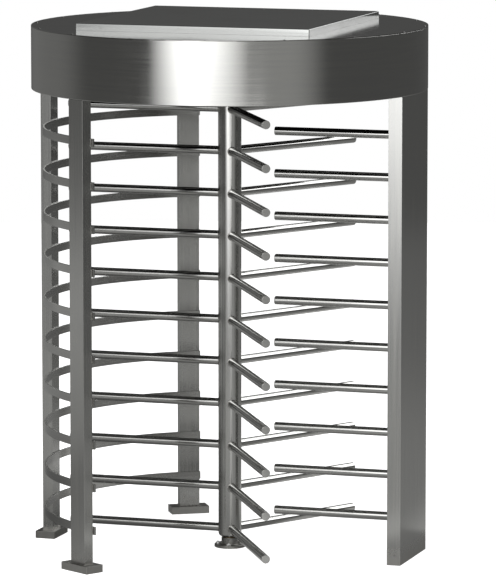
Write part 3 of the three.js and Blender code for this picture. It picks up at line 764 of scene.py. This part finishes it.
def base_flange():
    outline = [
        (0, 0, 0),
        (FLANGE_RADIUS, 0, 0.0005),
        (FLANGE_RADIUS, FLANGE_THICKNESS, 0.002),
        (STUB_RADIUS, FLANGE_THICKNESS, 0.003),
        (STUB_RADIUS, STUB_TOP, 0.001),
        (JOURNAL_RADIUS, STUB_TOP, 0),
        (JOURNAL_RADIUS, JOURNAL_TOP, 0.002),
        (0, JOURNAL_TOP, 0),
    ]
    shape = lathed(softened(outline, 4, closed=False), 72)
    fit("base_flange_turning", shape, FLANGE_SHADED_STEEL, None, "frame", "machined_steel", "base_flange")


def hexagon(across):
    radius = across / math.sqrt(3)
    return [(radius * math.cos(math.pi / 3 * i), radius * math.sin(math.pi / 3 * i), 0.0) for i in range(6)]


def flat_washer(radius, thickness, rim, sides):
    outline = [(0, 0, 0), (radius, 0, 0.0003), (radius, thickness, rim), (0, thickness, 0)]
    return lathed(softened(outline, 2, False), sides)


def anchor_bolt():
    """Washer and low domed nut on the stud."""
    nut = stacked([
        (hexagon(ANCHOR_NUT - 0.0012), ANCHOR_WASHER, 0.6),
        (hexagon(ANCHOR_NUT), 0.0025, 1.0),
        (hexagon(ANCHOR_NUT), 0.0040, 1.0),
        (hexagon(ANCHOR_NUT - 0.0006), 0.0044, 0.6),
    ])
    dome = [(0, 0.0036, 0), (ANCHOR_DOME, 0.0036, 0)]
    for k in range(10):
        turn = math.radians(9 * k)
        height = ANCHOR_DOME_BOTTOM + ANCHOR_DOME_RISE * math.sin(turn)
        dome.append((ANCHOR_DOME * math.cos(turn), height, 0))
    dome.append((0, ANCHOR_DOME_BOTTOM + ANCHOR_DOME_RISE, 0))
    return merged([flat_washer(0.0120, ANCHOR_WASHER, 0.0005, 32), nut, lathed(dome, 32)])


def anchor_bolts():
    shape = anchor_bolt()
    for i in range(4):
        place = out_at(ANCHOR_TURN + math.pi / 2 * i, ANCHOR_CIRCLE, FLANGE_THICKNESS)
        # The nuts' brightened steel gives a painted glint.
        fit(f"anchor_bolt_{i + 1}", shape, BOLT_GLINT_STEEL, place @ upright_turn(0.4 * i), "frame", "machined_steel")


base_flange()
anchor_bolts()


# Comb barrier and its post

def comb_post():
    low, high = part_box("comb_post")
    size = high - low
    shape = box_bar(size.x, size.y, POST_CORNER, POST_END, 0, size.z)
    place = shift((low.x + high.x) / 2, (low.y + high.y) / 2, low.z)
    fit("comb_post_box", shape, POST_STEEL, place, "frame", "brushed_stainless", "comb_post")


def comb_tubes():
    low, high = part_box("comb_barrier")
    post_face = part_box("comb_post")[0].x
    shape = capped_tube(high.x - low.x)
    weld = tube_weld(COMB_WELD, 48, lambda y: 0.0)
    for level in range(1, LEVELS):
        bar_low, bar_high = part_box(f"cage_bar_{level:02d}")
        height = (bar_low.z + bar_high.z) / 2
        place = lying_along(math.pi, high.x, 0, height)
        fit(f"comb_tube_{level:02d}", shape, TUBE_STEEL, place, "frame", "brushed_stainless", "comb_barrier")
        fit(f"comb_tube_{level:02d}_weld", weld, WELD_STEEL, shift(post_face, 0, height), "frame", "brushed_stainless")


comb_post()
comb_tubes()


# Cage: three posts on foot plates and ten curved bars

def cage_posts():
    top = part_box("cage_post_middle")[1].z
    box = box_bar(POST_OUTER - POST_INNER, POST_WIDTH, POST_CORNER, POST_END, FOOT_THICKNESS - 0.002, top)
    middle = (POST_INNER + POST_OUTER) / 2
    foot = box_bar(FOOT_WIDTH, FOOT_LENGTH, FOOT_CORNER, 0.001, 0, FOOT_THICKNESS)
    outline = rounded_rectangle(POST_OUTER - POST_INNER, POST_WIDTH, POST_CORNER, 6)
    for node, angle in CAGE_POSTS.items():
        turned = upright_turn(angle)
        fit(f"{node}_box", box, POST_STEEL, turned @ shift(middle, 0, 0), "frame", "brushed_stainless", node)
        fit(f"{node}_foot", foot, POST_STEEL, turned @ shift(FOOT_CENTRE, 0, 0), "frame", "brushed_stainless", node)
        weld_place = turned @ shift(middle, 0, FOOT_THICKNESS)
        fit(f"{node}_foot_weld", foot_weld(outline), WELD_STEEL, weld_place, "frame", "brushed_stainless")


def foot_weld(outline):
    """Bead round the bottom of a post, along its outline."""
    path = []
    points = [Vector((x, y, 0)) for x, y, _ in outline]
    for here, after in zip(points, points[1:] + points[:1]):
        pieces = max(1, round((after - here).length / 0.003))
        path += [here.lerp(after, k / pieces) for k in range(pieces)]
    return swept_loop(path, level_frames(path), FOOT_WELD)


def cage_bar():
    """Flat bar along an arc round the axis, centred on the -X side, at height zero."""
    section = rounded_rectangle(BAR_OUTER - BAR_INNER, BAR_HEIGHT, 0.001, 3)
    middle = (BAR_INNER + BAR_OUTER) / 2
    corners, wear = [], []
    for i in range(BAR_STEPS + 1):
        angle = BAR_BACK_END + (BAR_FRONT_END - BAR_BACK_END) * i / BAR_STEPS
        for x, y, worn in section:
            corners.append(((middle + x) * math.cos(angle), (middle + x) * math.sin(angle), y))
            wear.append(worn)
    return corners, ring_faces(BAR_STEPS + 1, len(section), mirrored=True), wear


def bar_welds():
    """Short upright beads where a bar meets the two inner corners of each post."""
    shapes = []
    half = POST_WIDTH / 2 + 0.0003
    for angle in CAGE_POSTS.values():
        turned = upright_turn(angle)
        for side in (-1, 1):
            foot = Vector((POST_INNER + 0.0006, side * half, 0))
            line = [foot + Vector((0, 0, BAR_WELD_REACH * (k / 8 - 1))) for k in range(17)]
            bead = swept_line(line, Vector((1, 0, 0)), Vector((0, 1, 0)), BAR_WELD)
            shapes.append(moved(bead, turned))
    return merged(shapes)


def cage_bars():
    shape = cage_bar()
    welds = bar_welds()
    for level in range(1, LEVELS):
        node = f"cage_bar_{level:02d}"
        low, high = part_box(node)
        place = shift(0, 0, (low.z + high.z) / 2)
        fit(f"{node}_flat", shape, BAR_STEEL, place, "frame", "brushed_stainless", node)
        fit(f"{node}_welds", welds, WELD_STEEL, place, "frame", "brushed_stainless")


cage_posts()
cage_bars()


# Canopy

def canopy_casing():
    low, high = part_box("canopy_casing")
    radius, bottom, top = high.x, low.z, high.z
    inner = radius - CANOPY_WALL
    outline = [
        (CANOPY_HOLE, bottom, 0),
        (radius, bottom, CANOPY_ROLL),
        (radius, top, 0.0006),
        (inner - CANOPY_RIM, top, 0),
        (inner - CANOPY_RIM, top - CANOPY_WALL, 0),
        (inner, top - CANOPY_WALL, 0),
        (inner, bottom + CANOPY_FLOOR, 0.001),
        (CANOPY_HOLE, bottom + CANOPY_FLOOR, 0),
    ]
    shape = lathed(softened(outline, 5), CANOPY_SIDES, ring=True)
    drum = fit("canopy_casing_drum", shape, CANOPY_STEEL, None, "frame", "canopy_sheet", "canopy_casing")
    # The flat underside takes the near-black painted shade instead of the steel.
    drum.data.materials.append(UNDERSIDE_PAINTED_SHADE)
    for face in drum.data.polygons:
        if face.normal.z < -0.9 and face.center.z < bottom + 0.001:
            face.material_index = 1


def lid_screws():
    """Low button heads that hold the lid to the casing's rim."""
    head = [
        (0, 0, 0), (0.0045, 0, 0), (0.0038, 0.0016, 0.0008),
        (0.0014, 0.0016, 0), (0.0012, 0.0006, 0), (0, 0.0006, 0),
    ]
    shape = lathed(softened(head, 3, False), 20)
    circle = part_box("canopy_casing")[1].x - CANOPY_WALL - CANOPY_RIM / 2
    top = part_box("service_cover")[0].z - SEAT_GAP
    for i in range(LID_SCREWS):
        place = out_at(2 * math.pi * (i + 0.5) / LID_SCREWS, circle, top)
        fit(f"lid_screw_{i + 1:02d}", shape, LID_SHADED_STEEL, place, "frame", "machined_steel")


def service_cover():
    low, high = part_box("service_cover")
    half = high.x
    height = high.z - low.z
    inner = 2 * (half - COVER_WALL)
    inside = rounded_rectangle(inner, inner, COVER_CORNER - COVER_WALL)
    steps = 4
    rings = [
        (inside, height - COVER_WALL, 0.0),
        (inside, 0.0, 0.0),
        (rounded_rectangle(2 * half, 2 * half, COVER_CORNER), 0.0, 0.0),
    ]
    for k in range(steps + 1):
        turn = math.pi / 2 * k / steps
        inset = COVER_FOLD * (1 - math.cos(turn))
        rise = height - COVER_FOLD * (1 - math.sin(turn))
        outline = rounded_rectangle(2 * (half - inset), 2 * (half - inset), COVER_CORNER - inset)
        rings.append((outline, rise, math.sin(math.pi * k / steps)))
    pan = stacked(rings)
    fit("service_cover_pan", pan, COVER_STEEL, shift(0, 0, low.z), "service_cover", "cover_sheet", "service_cover")
    knuckle = lathed([
        (KNUCKLE_BORE, 0, 0), (KNUCKLE_RADIUS, 0, 0),
        (KNUCKLE_RADIUS, KNUCKLE_LENGTH, 0), (KNUCKLE_BORE, KNUCKLE_LENGTH, 0),
    ], 32, ring=True)
    leaf_end = HINGE_AXIS.y - KNUCKLE_RADIUS * 0.8
    leaf = box_bar(KNUCKLE_LENGTH, leaf_end - half + 0.001, 0.001, 0.0005, -0.0025, 0.0025)
    for i, x in enumerate(HINGE_PLACES):
        place = lying_along(0, x - KNUCKLE_LENGTH / 2, HINGE_AXIS.y, HINGE_AXIS.z)
        fit(f"cover_hinge_knuckle_{i + 1}", knuckle, MACHINED_STEEL, place, "service_cover", "cover_sheet")
        strap_place = shift(x, (half + leaf_end) / 2, HINGE_AXIS.z)
        fit(f"cover_hinge_leaf_{i + 1}", leaf, COVER_STEEL, strap_place, "service_cover", "cover_sheet")


def hatch_seal():
    """Rubber bulb round the outside of the hatch upstand."""
    points = [Vector((x, y, 0)) for x, y, _ in rounded_rectangle(SEAL_SIDE, SEAL_SIDE, SEAL_CORNER, 6)]
    curb_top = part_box("service_cover")[1].z - COVER_WALL - SEAT_GAP
    bulb = swept_loop(points, level_frames(points), SEAL_RADIUS, 12)
    fit("hatch_seal", bulb, SEAL_RUBBER, shift(0, 0, curb_top - SEAL_DROP), "frame", "painted_frame")


def coiled_wire(radius, wire, turns, height, bottom, legs=0.0):
    """Helical spring about Z. With legs, both ends of the wire run on straight along their tangents."""
    total = int(turns * COIL_STEPS)
    path = []
    for i in range(total + 1):
        angle = 2 * math.pi * i / COIL_STEPS
        out = Vector((math.cos(angle), math.sin(angle), 0))
        path.append((out * radius + Vector((0, 0, bottom + height * i / total)), out))
    if legs:
        first, last = path[0], path[-1]
        start = Vector((first[1].y, -first[1].x, 0)) * legs
        finish = Vector((-last[1].y, last[1].x, 0)) * legs
        path = [(first[0] + start, first[1])] + path + [(last[0] + finish, last[1])]
    corners = []
    for centre, out in path:
        corners += ring_corners(centre, out, Vector((0, 0, 1)), wire, WIRE_SIDES)
    return corners, ring_faces(len(path), WIRE_SIDES, mirrored=True), [0.0] * len(corners)


def bearing_bolts():
    """Four hexagon heads that hold the top bearing's flange to the head plate."""
    head = [(hexagon(0.0132), 0.0014, 0.4), (hexagon(0.0132), 0.0060, 1.0), (hexagon(0.0122), 0.0066, 0.6)]
    shape = merged([flat_washer(0.0085, 0.0014, 0.0003, 28), stacked(head)])
    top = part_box("top_bearing")[0].z + BEARING_FLANGE
    for i in range(4):
        place = out_at(math.pi / 4 + math.pi / 2 * i, BEARING_BOLT_CIRCLE, top) @ upright_turn(0.5 * i)
        fit(f"bearing_bolt_{i + 1}", shape, MACHINED_STEEL, place, "frame", "machined_steel")


def pawl_springs():
    """Torsion spring round each pawl's pin and the clip that keeps it on."""
    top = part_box("locking_pawl_entry")[1].z
    coil = coiled_wire(SPRING_RADIUS, SPRING_WIRE, 3.5, 0.0045, 0.0011, SPRING_LEG)
    bore = PIN_RADIUS - 0.0004
    ring = lathed([
        (bore, CLIP_BOTTOM, 0), (CLIP_RADIUS, CLIP_BOTTOM, 0), (CLIP_RADIUS, CLIP_TOP, 0), (bore, CLIP_TOP, 0),
    ], 32, ring=True)
    for side, name in PAWL_SIDES:
        place = shift(PAWL_PIN.x, side * PAWL_PIN.y, top)
        fit(f"pawl_spring_{name}", coil, SPRING_STEEL, place @ upright_turn(side * 0.9), "frame", "machined_steel")
        fit(f"pawl_pin_clip_{name}", ring, SPRING_STEEL, place, "frame", "machined_steel")


def solenoid_yoke(level):
    """Bracket foot and open frame, seen from the pawl's tail. level is the plunger's height."""
    low, high = level - SOLENOID_WIDTH / 2, level + SOLENOID_WIDTH / 2

    def sheet(depth, bottom, top, y):
        return moved(box_bar(SOLENOID_WIDTH, depth, SHEET_CORNER, SHEET_EDGE, bottom, top), shift(0, y, 0))

    foot = box_bar(SOLENOID_WIDTH, SOLENOID_FOOT, 0.004, 0.0006, 0.0, SOLENOID_SHEET)
    return merged([
        moved(foot, shift(0, SOLENOID_FOOT / 2, 0)),
        sheet(SOLENOID_SHEET, SOLENOID_SHEET - 0.0002, high, SOLENOID_SHEET / 2),
        sheet(SOLENOID_SHEET, low, high, SOLENOID_LENGTH - SOLENOID_SHEET / 2),
        sheet(SOLENOID_LENGTH - 0.0056, low, low + SOLENOID_SHEET, SOLENOID_LENGTH / 2),
    ])


def solenoid_bobbin(length):
    outline = [
        (0, 0.0, 0), (BOBBIN_RADIUS, 0.0, 0.0003), (BOBBIN_RADIUS, BOBBIN_END, 0), (BOBBIN_CORE, BOBBIN_END, 0),
        (BOBBIN_CORE, length - BOBBIN_END, 0), (BOBBIN_RADIUS, length - BOBBIN_END, 0),
        (BOBBIN_RADIUS, length, 0.0003), (0, length, 0),
    ]
    return lathed(softened(outline, 2, False), 32)


def pawl_solenoids():
    """Push solenoid beyond each pawl's tail: an open steel yoke on a bracket, the coil and its plunger."""
    plate_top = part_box("top_bearing")[0].z - SEAT_GAP
    low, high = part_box("locking_pawl_entry")
    level = (low.z + high.z) / 2 - plate_top
    length = SOLENOID_LENGTH - 2 * SOLENOID_SHEET
    winding_wire = (length - 0.0028) / WINDING_TURNS / 2
    winding = coiled_wire(0.0104, winding_wire, WINDING_TURNS, length - 0.0050, 0.0025)
    rod = [(0, 0, 0), (PLUNGER_RADIUS, 0, 0.0006), (PLUNGER_RADIUS, PLUNGER_LENGTH, 0), (0, PLUNGER_LENGTH, 0)]
    plunger = lathed(softened(rod, 3, False), 24)
    lying = Matrix.Rotation(-math.pi / 2, 4, "X")
    for side, name in PAWL_SIDES:
        place = shift(SOLENOID_X, side * SOLENOID_NEAR, plate_top) @ upright_turn(math.pi / 2 * side - math.pi / 2)
        inside = place @ shift(0, SOLENOID_SHEET, level) @ lying
        tip = place @ shift(0, SOLENOID_SHEET - PLUNGER_LENGTH, level) @ lying
        for kind, shape, finish, where, slot in (
            ("yoke", solenoid_yoke(level), MACHINED_STEEL, place, "machined_steel"),
            ("bobbin", solenoid_bobbin(length), SEAL_RUBBER, inside, "painted_frame"),
            ("winding", winding, COIL_WIRE, inside, "bush_bronze"),
            ("plunger", plunger, MACHINED_STEEL, tip, "machined_steel"),
        ):
            fit(f"pawl_solenoid_{kind}_{name}", shape, finish, where, "frame", slot)


canopy_casing()
lid_screws()
service_cover()
hatch_seal()
bearing_bolts()
pawl_springs()
pawl_solenoids()


# CAD pieces that keep their own solids

def finish_node(node, material):
    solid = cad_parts[node]
    solid.data.materials.clear()
    solid.data.materials.append(material)


finish_node("base_bush", SHADED_BUSH_BRONZE)
finish_node("head_frame", FRAME_PAINT)
finish_node("canopy_lid", LID_SHADED_STEEL)
for turned_part in ("rotor_top_shaft", "index_wheel", "top_bearing", "locking_pawl_entry", "locking_pawl_exit"):
    finish_node(turned_part, MACHINED_STEEL)


# Studio: pale floor, glowing cards that only the steel mirrors, dull surroundings in the reflections

def floor_glow(tree):
    """How bright the floor is in the steel: brighter in front, dim near the rotor, behind and to the right."""
    x, y, _ = split_axes(tree, object_place(tree))
    reach = calculate(tree, "SQRT", calculate(tree, "MULTIPLY_ADD", y, y, product(tree, x, x)))
    away = calculate(tree, "MAXIMUM", reach, 0.01)
    east, north = calculate(tree, "DIVIDE", x, away), calculate(tree, "DIVIDE", y, away)
    off_card = calculate(tree, "ABSOLUTE", calculate(tree, "SUBTRACT", x, 0.4))
    side = calculate(tree, "MAXIMUM", east, north)
    off_strip = calculate(tree, "ABSOLUTE", calculate(tree, "SUBTRACT", east, math.cos(STRIP_ANGLE)))
    past_arm = calculate(tree, "MULTIPLY_ADD", x, -0.4, y)
    past_card = product(tree, ramp(tree, y, -5.0, -8.0), ramp(tree, off_card, 6.0, 3.5))
    left = product(tree, ramp(tree, east, -0.6, -0.95), ramp(tree, reach, 2.0, 5.0, -0.11, 0.05))
    behind = product(tree, ramp(tree, side, 0.8, 0.99), ramp(tree, reach, 1.5, 7.0, 0.01, -0.10))
    strip = product(
        tree, ramp(tree, off_strip, 0.17, 0.09), ramp(tree, y, -8.0, -5.0), ramp(tree, north, -0.6, -0.7),
    )
    near_back = product(
        tree, ramp(tree, past_arm, 0.15, 0.28), ramp(tree, x, -0.7, 0.1), ramp(tree, x, 1.25, 0.85),
        ramp(tree, reach, 2.8, 1.6),
    )
    front_left = product(
        tree, ramp(tree, north, -0.30, -0.42), ramp(tree, north, -0.72, -0.62), ramp(tree, east, -0.5, -0.7),
        ramp(tree, reach, 2.5, 4.0),
    )
    level = calculate(tree, "MULTIPLY_ADD", ramp(tree, north, 0.1, -0.8), 0.13, FLOOR_GLOW)
    for patch, strength in (
        (past_card, -0.24), (left, 1.0), (behind, 1.0), (strip, 0.26), (near_back, 0.30), (front_left, -0.20),
    ):
        level = calculate(tree, "MULTIPLY_ADD", patch, strength, level)
    return calculate(tree, "MULTIPLY", level, ramp(tree, reach, 0.6, 2.0, 0.74, 1.0))


def emission(tree, colour, strength):
    glow = tree.nodes.new("ShaderNodeEmission")
    glow.inputs["Color"].default_value = (*colour, 1.0)
    feed(tree, glow.inputs["Strength"], strength)
    return glow.outputs[0]


def both_shaders(tree, first, second):
    node = tree.nodes.new("ShaderNodeAddShader")
    tree.links.new(first, node.inputs[0])
    tree.links.new(second, node.inputs[1])
    return node.outputs[0]


def by_camera(tree, mirrored, seen):
    """What the camera itself sees, and what every other ray meets."""
    mix = tree.nodes.new("ShaderNodeMixShader")
    tree.links.new(tree.nodes.new("ShaderNodeLightPath").outputs["Is Camera Ray"], mix.inputs[0])
    tree.links.new(mirrored, mix.inputs[1])
    tree.links.new(seen, mix.inputs[2])
    return mix.outputs[0]


def stage_sheet(name, corners):
    """One flat sheet of the studio with a material of its own, which is still without a surface."""
    mesh = bpy.data.meshes.new(name)
    mesh.from_pydata(corners, [], [tuple(range(len(corners)))])
    material, tree = new_material(name)
    tree.nodes.remove(tree.nodes["Principled BSDF"])
    mesh.materials.append(material)
    return new_object(name, mesh), tree


def floor():
    turns = [2 * math.pi * i / FLOOR_SIDES for i in range(FLOOR_SIDES)]
    rim = [(FLOOR_RADIUS * math.cos(turn), FLOOR_RADIUS * math.sin(turn), 0) for turn in turns]
    surface, tree = stage_sheet("studio_floor", rim)
    paper = tree.nodes.new("ShaderNodeBsdfDiffuse")
    paper.inputs["Color"].default_value = (0.8, 0.8, 0.8, 1)
    bright = both_shaders(tree, paper.outputs[0], emission(tree, (1, 1, 1), 0.93))
    dull = emission(tree, ROOM_WHITE, floor_glow(tree))
    tree.links.new(by_camera(tree, dull, bright), tree.nodes["Material Output"].inputs["Surface"])


def panel(name, place, span, strength, fades, powers=(1, 1)):
    """Upright glowing card, clear apart from its glow and unseen by the camera. span is its left, right,
    bottom and top, and fades gives where it is dark and where full, in its own X (dark, full, full, dark)
    and then the same in Z. Its lower part is faint in steel that is itself mirrored in steel."""
    left, right, bottom, top = span
    corners = [(left, 0, bottom), (right, 0, bottom), (right, 0, top), (left, 0, top)]
    board, tree = stage_sheet(name, corners)
    board.matrix_world = place
    board.visible_camera = False
    axes = split_axes(tree, object_place(tree))
    depth = tree.nodes.new("ShaderNodeLightPath").outputs["Ray Depth"]
    again = ramp(tree, axes["Z"], 1.9, 2.3, strength * 0.1, strength)
    level = ramp(tree, depth, 1.2, 1.8, strength, again)
    for axis, power, (dark_low, full_low, full_high, dark_high) in zip(("X", "Z"), powers, fades):
        rise = ramp(tree, axes[axis], dark_low, full_low)
        fall = ramp(tree, axes[axis], dark_high, full_high)
        rise.node.interpolation_type = fall.node.interpolation_type = "LINEAR"
        level = product(tree, calculate(tree, "POWER", product(tree, rise, fall), power), level)
    clear = tree.nodes.new("ShaderNodeBsdfTransparent").outputs[0]
    glow = both_shaders(tree, clear, emission(tree, (1.0, 1.0, 1.0), level))
    tree.links.new(glow, tree.nodes["Material Output"].inputs["Surface"])


def cards():
    """The key card in front, low and high cards beside it, and two high ones behind."""
    front, back = -7.0, 12.0
    side_place = upright_turn(math.radians(100)) @ shift(0, 4.2, 0)
    back_place = upright_turn(math.radians(-48)) @ shift(0, back, 0)
    edge_place = upright_turn(math.radians(-18)) @ shift(0, back, 0)
    panel(
        "key_card", shift(0, front, 0), (-3.5, 4.0, 0.001, 9.5), 2.9,
        ((-3.5, -0.3, -0.3, 3.8), (-0.9, 1.8, 6.0, 9.5)), powers=(1, 2),
    )
    for name, place, span, strength, fades in (
        ("low_right_card", shift(0, front - 0.05, 0), (-1.2, 5.6, 0.001, 1.2), 0.55,
         ((-1.2, 0.6, 4.8, 5.6), (-0.8, 0.85, 1.08, 1.2))),
        ("low_edge_card", shift(0, front - 0.06, 0), (1.0, 5.6, 0.2, 1.2), 0.60,
         ((1.0, 3.0, 4.8, 5.6), (0.2, 1.0, 1.08, 1.2))),
        ("high_left_card", shift(0, front - 0.15, 0), (-5.5, -1.6, 2.2, 6.0), 1.0,
         ((-5.5, -4.2, -3.2, -1.6), (2.2, 3.4, 4.4, 6.0))),
        ("left_front_card", shift(0, front - 0.1, 0), (-4.6, -2.2, 0.001, 1.6), 0.10,
         ((-4.6, -3.8, -2.9, -2.2), (-0.5, 0.0, 1.3, 1.6))),
        ("left_card", side_place, (-3.2, 3.2, 0.2, 1.6), 0.085,
         ((-3.2, -2.0, 2.0, 3.2), (0.2, 0.6, 0.9, 1.6))),
        ("high_back_card", back_place, (-10.4, 7.6, 5.0, 18.0), 2.4,
         ((-10.4, -9.4, 7.0, 7.6), (5.0, 6.1, 17.0, 18.0))),
        ("high_edge_card", edge_place, (-1.8, 1.8, 3.1, 4.9), 1.7,
         ((-1.8, -1.3, 1.3, 1.8), (3.1, 3.4, 4.6, 4.9))),
    ):
        panel(name, place, span, strength, fades)


def surroundings():
    world = bpy.data.worlds.new("studio")
    bpy.context.scene.world = world
    world.use_nodes = True
    tree = world.node_tree
    tree.nodes.clear()
    direction = tree.nodes.new("ShaderNodeTexCoord").outputs["Generated"]

    def lobe(plan_angle, rise, inner, outer):
        """1 within the inner angle of a direction and 0 past the outer one, in degrees."""
        turn, lift = math.radians(plan_angle), math.radians(rise)
        dot = tree.nodes.new("ShaderNodeVectorMath")
        dot.operation = "DOT_PRODUCT"
        tree.links.new(direction, dot.inputs[0])
        dot.inputs[1].default_value = (
            math.cos(turn) * math.cos(lift), math.sin(turn) * math.cos(lift), math.sin(lift),
        )
        return ramp(tree, dot.outputs["Value"], math.cos(math.radians(outer)), math.cos(math.radians(inner)))

    def background(colour, strength):
        node = tree.nodes.new("ShaderNodeBackground")
        node.inputs["Color"].default_value = (*colour, 1.0)
        feed(tree, node.inputs["Strength"], strength)
        return node.outputs[0]

    level = ROOM_GLOW
    for plan_angle, rise, inner, outer, strength in (
        (-50, -8, 10, 38, 0.25),
        (155, -8, 10, 45, 0.10),
    ):
        level = calculate(tree, "MULTIPLY_ADD", lobe(plan_angle, rise, inner, outer), strength, level)
    level = product(tree, level, ramp(tree, split_axes(tree, direction)["Z"], 0.15, 0.5, 1.0, 0.5))
    shown = by_camera(tree, background(ROOM_WHITE, level), background((1.0, 1.0, 1.0), 1.0))
    out = tree.nodes.new("ShaderNodeOutputWorld")
    tree.links.new(shown, out.inputs["Surface"])


def overhead_light():
    """Soft light from above for the painted and rubber pieces. Steel doesn't mirror it."""
    lamp = bpy.data.lights.new("overhead_light", "AREA")
    lamp.shape = "DISK"
    lamp.size = 4.0
    lamp.energy = 220.0
    holder = new_object("overhead_light", lamp)
    holder.location = (-1.0, -1.5, 6.0)
    holder.rotation_mode = "QUATERNION"
    holder.rotation_quaternion = (Vector((0, 0, 1)) - holder.location).to_track_quat("-Z", "Y")
    holder.visible_glossy = False


def camera():
    lens = bpy.data.cameras.new("camera")
    lens.sensor_width = CAMERA_SENSOR
    lens.lens = CAMERA_LENS
    lens.clip_start = 0.5
    lens.clip_end = 200.0
    body = new_object("camera", lens)
    across = Vector((math.cos(CAMERA_TURN), math.sin(CAMERA_TURN), 0))
    ahead = Vector((
        -math.sin(CAMERA_TURN) * math.cos(CAMERA_RISE),
        math.cos(CAMERA_TURN) * math.cos(CAMERA_RISE),
        -math.sin(CAMERA_RISE),
    ))
    body.location = across * CAMERA_AIM_ACROSS + Vector((0, 0, CAMERA_AIM_HEIGHT)) - ahead * CAMERA_DISTANCE
    body.rotation_mode = "QUATERNION"
    body.rotation_quaternion = ahead.to_track_quat("-Z", "Y")
    bpy.context.scene.camera = body


floor()
cards()
surroundings()
overhead_light()
camera()
bpy.context.scene.view_settings.view_transform = "Standard"
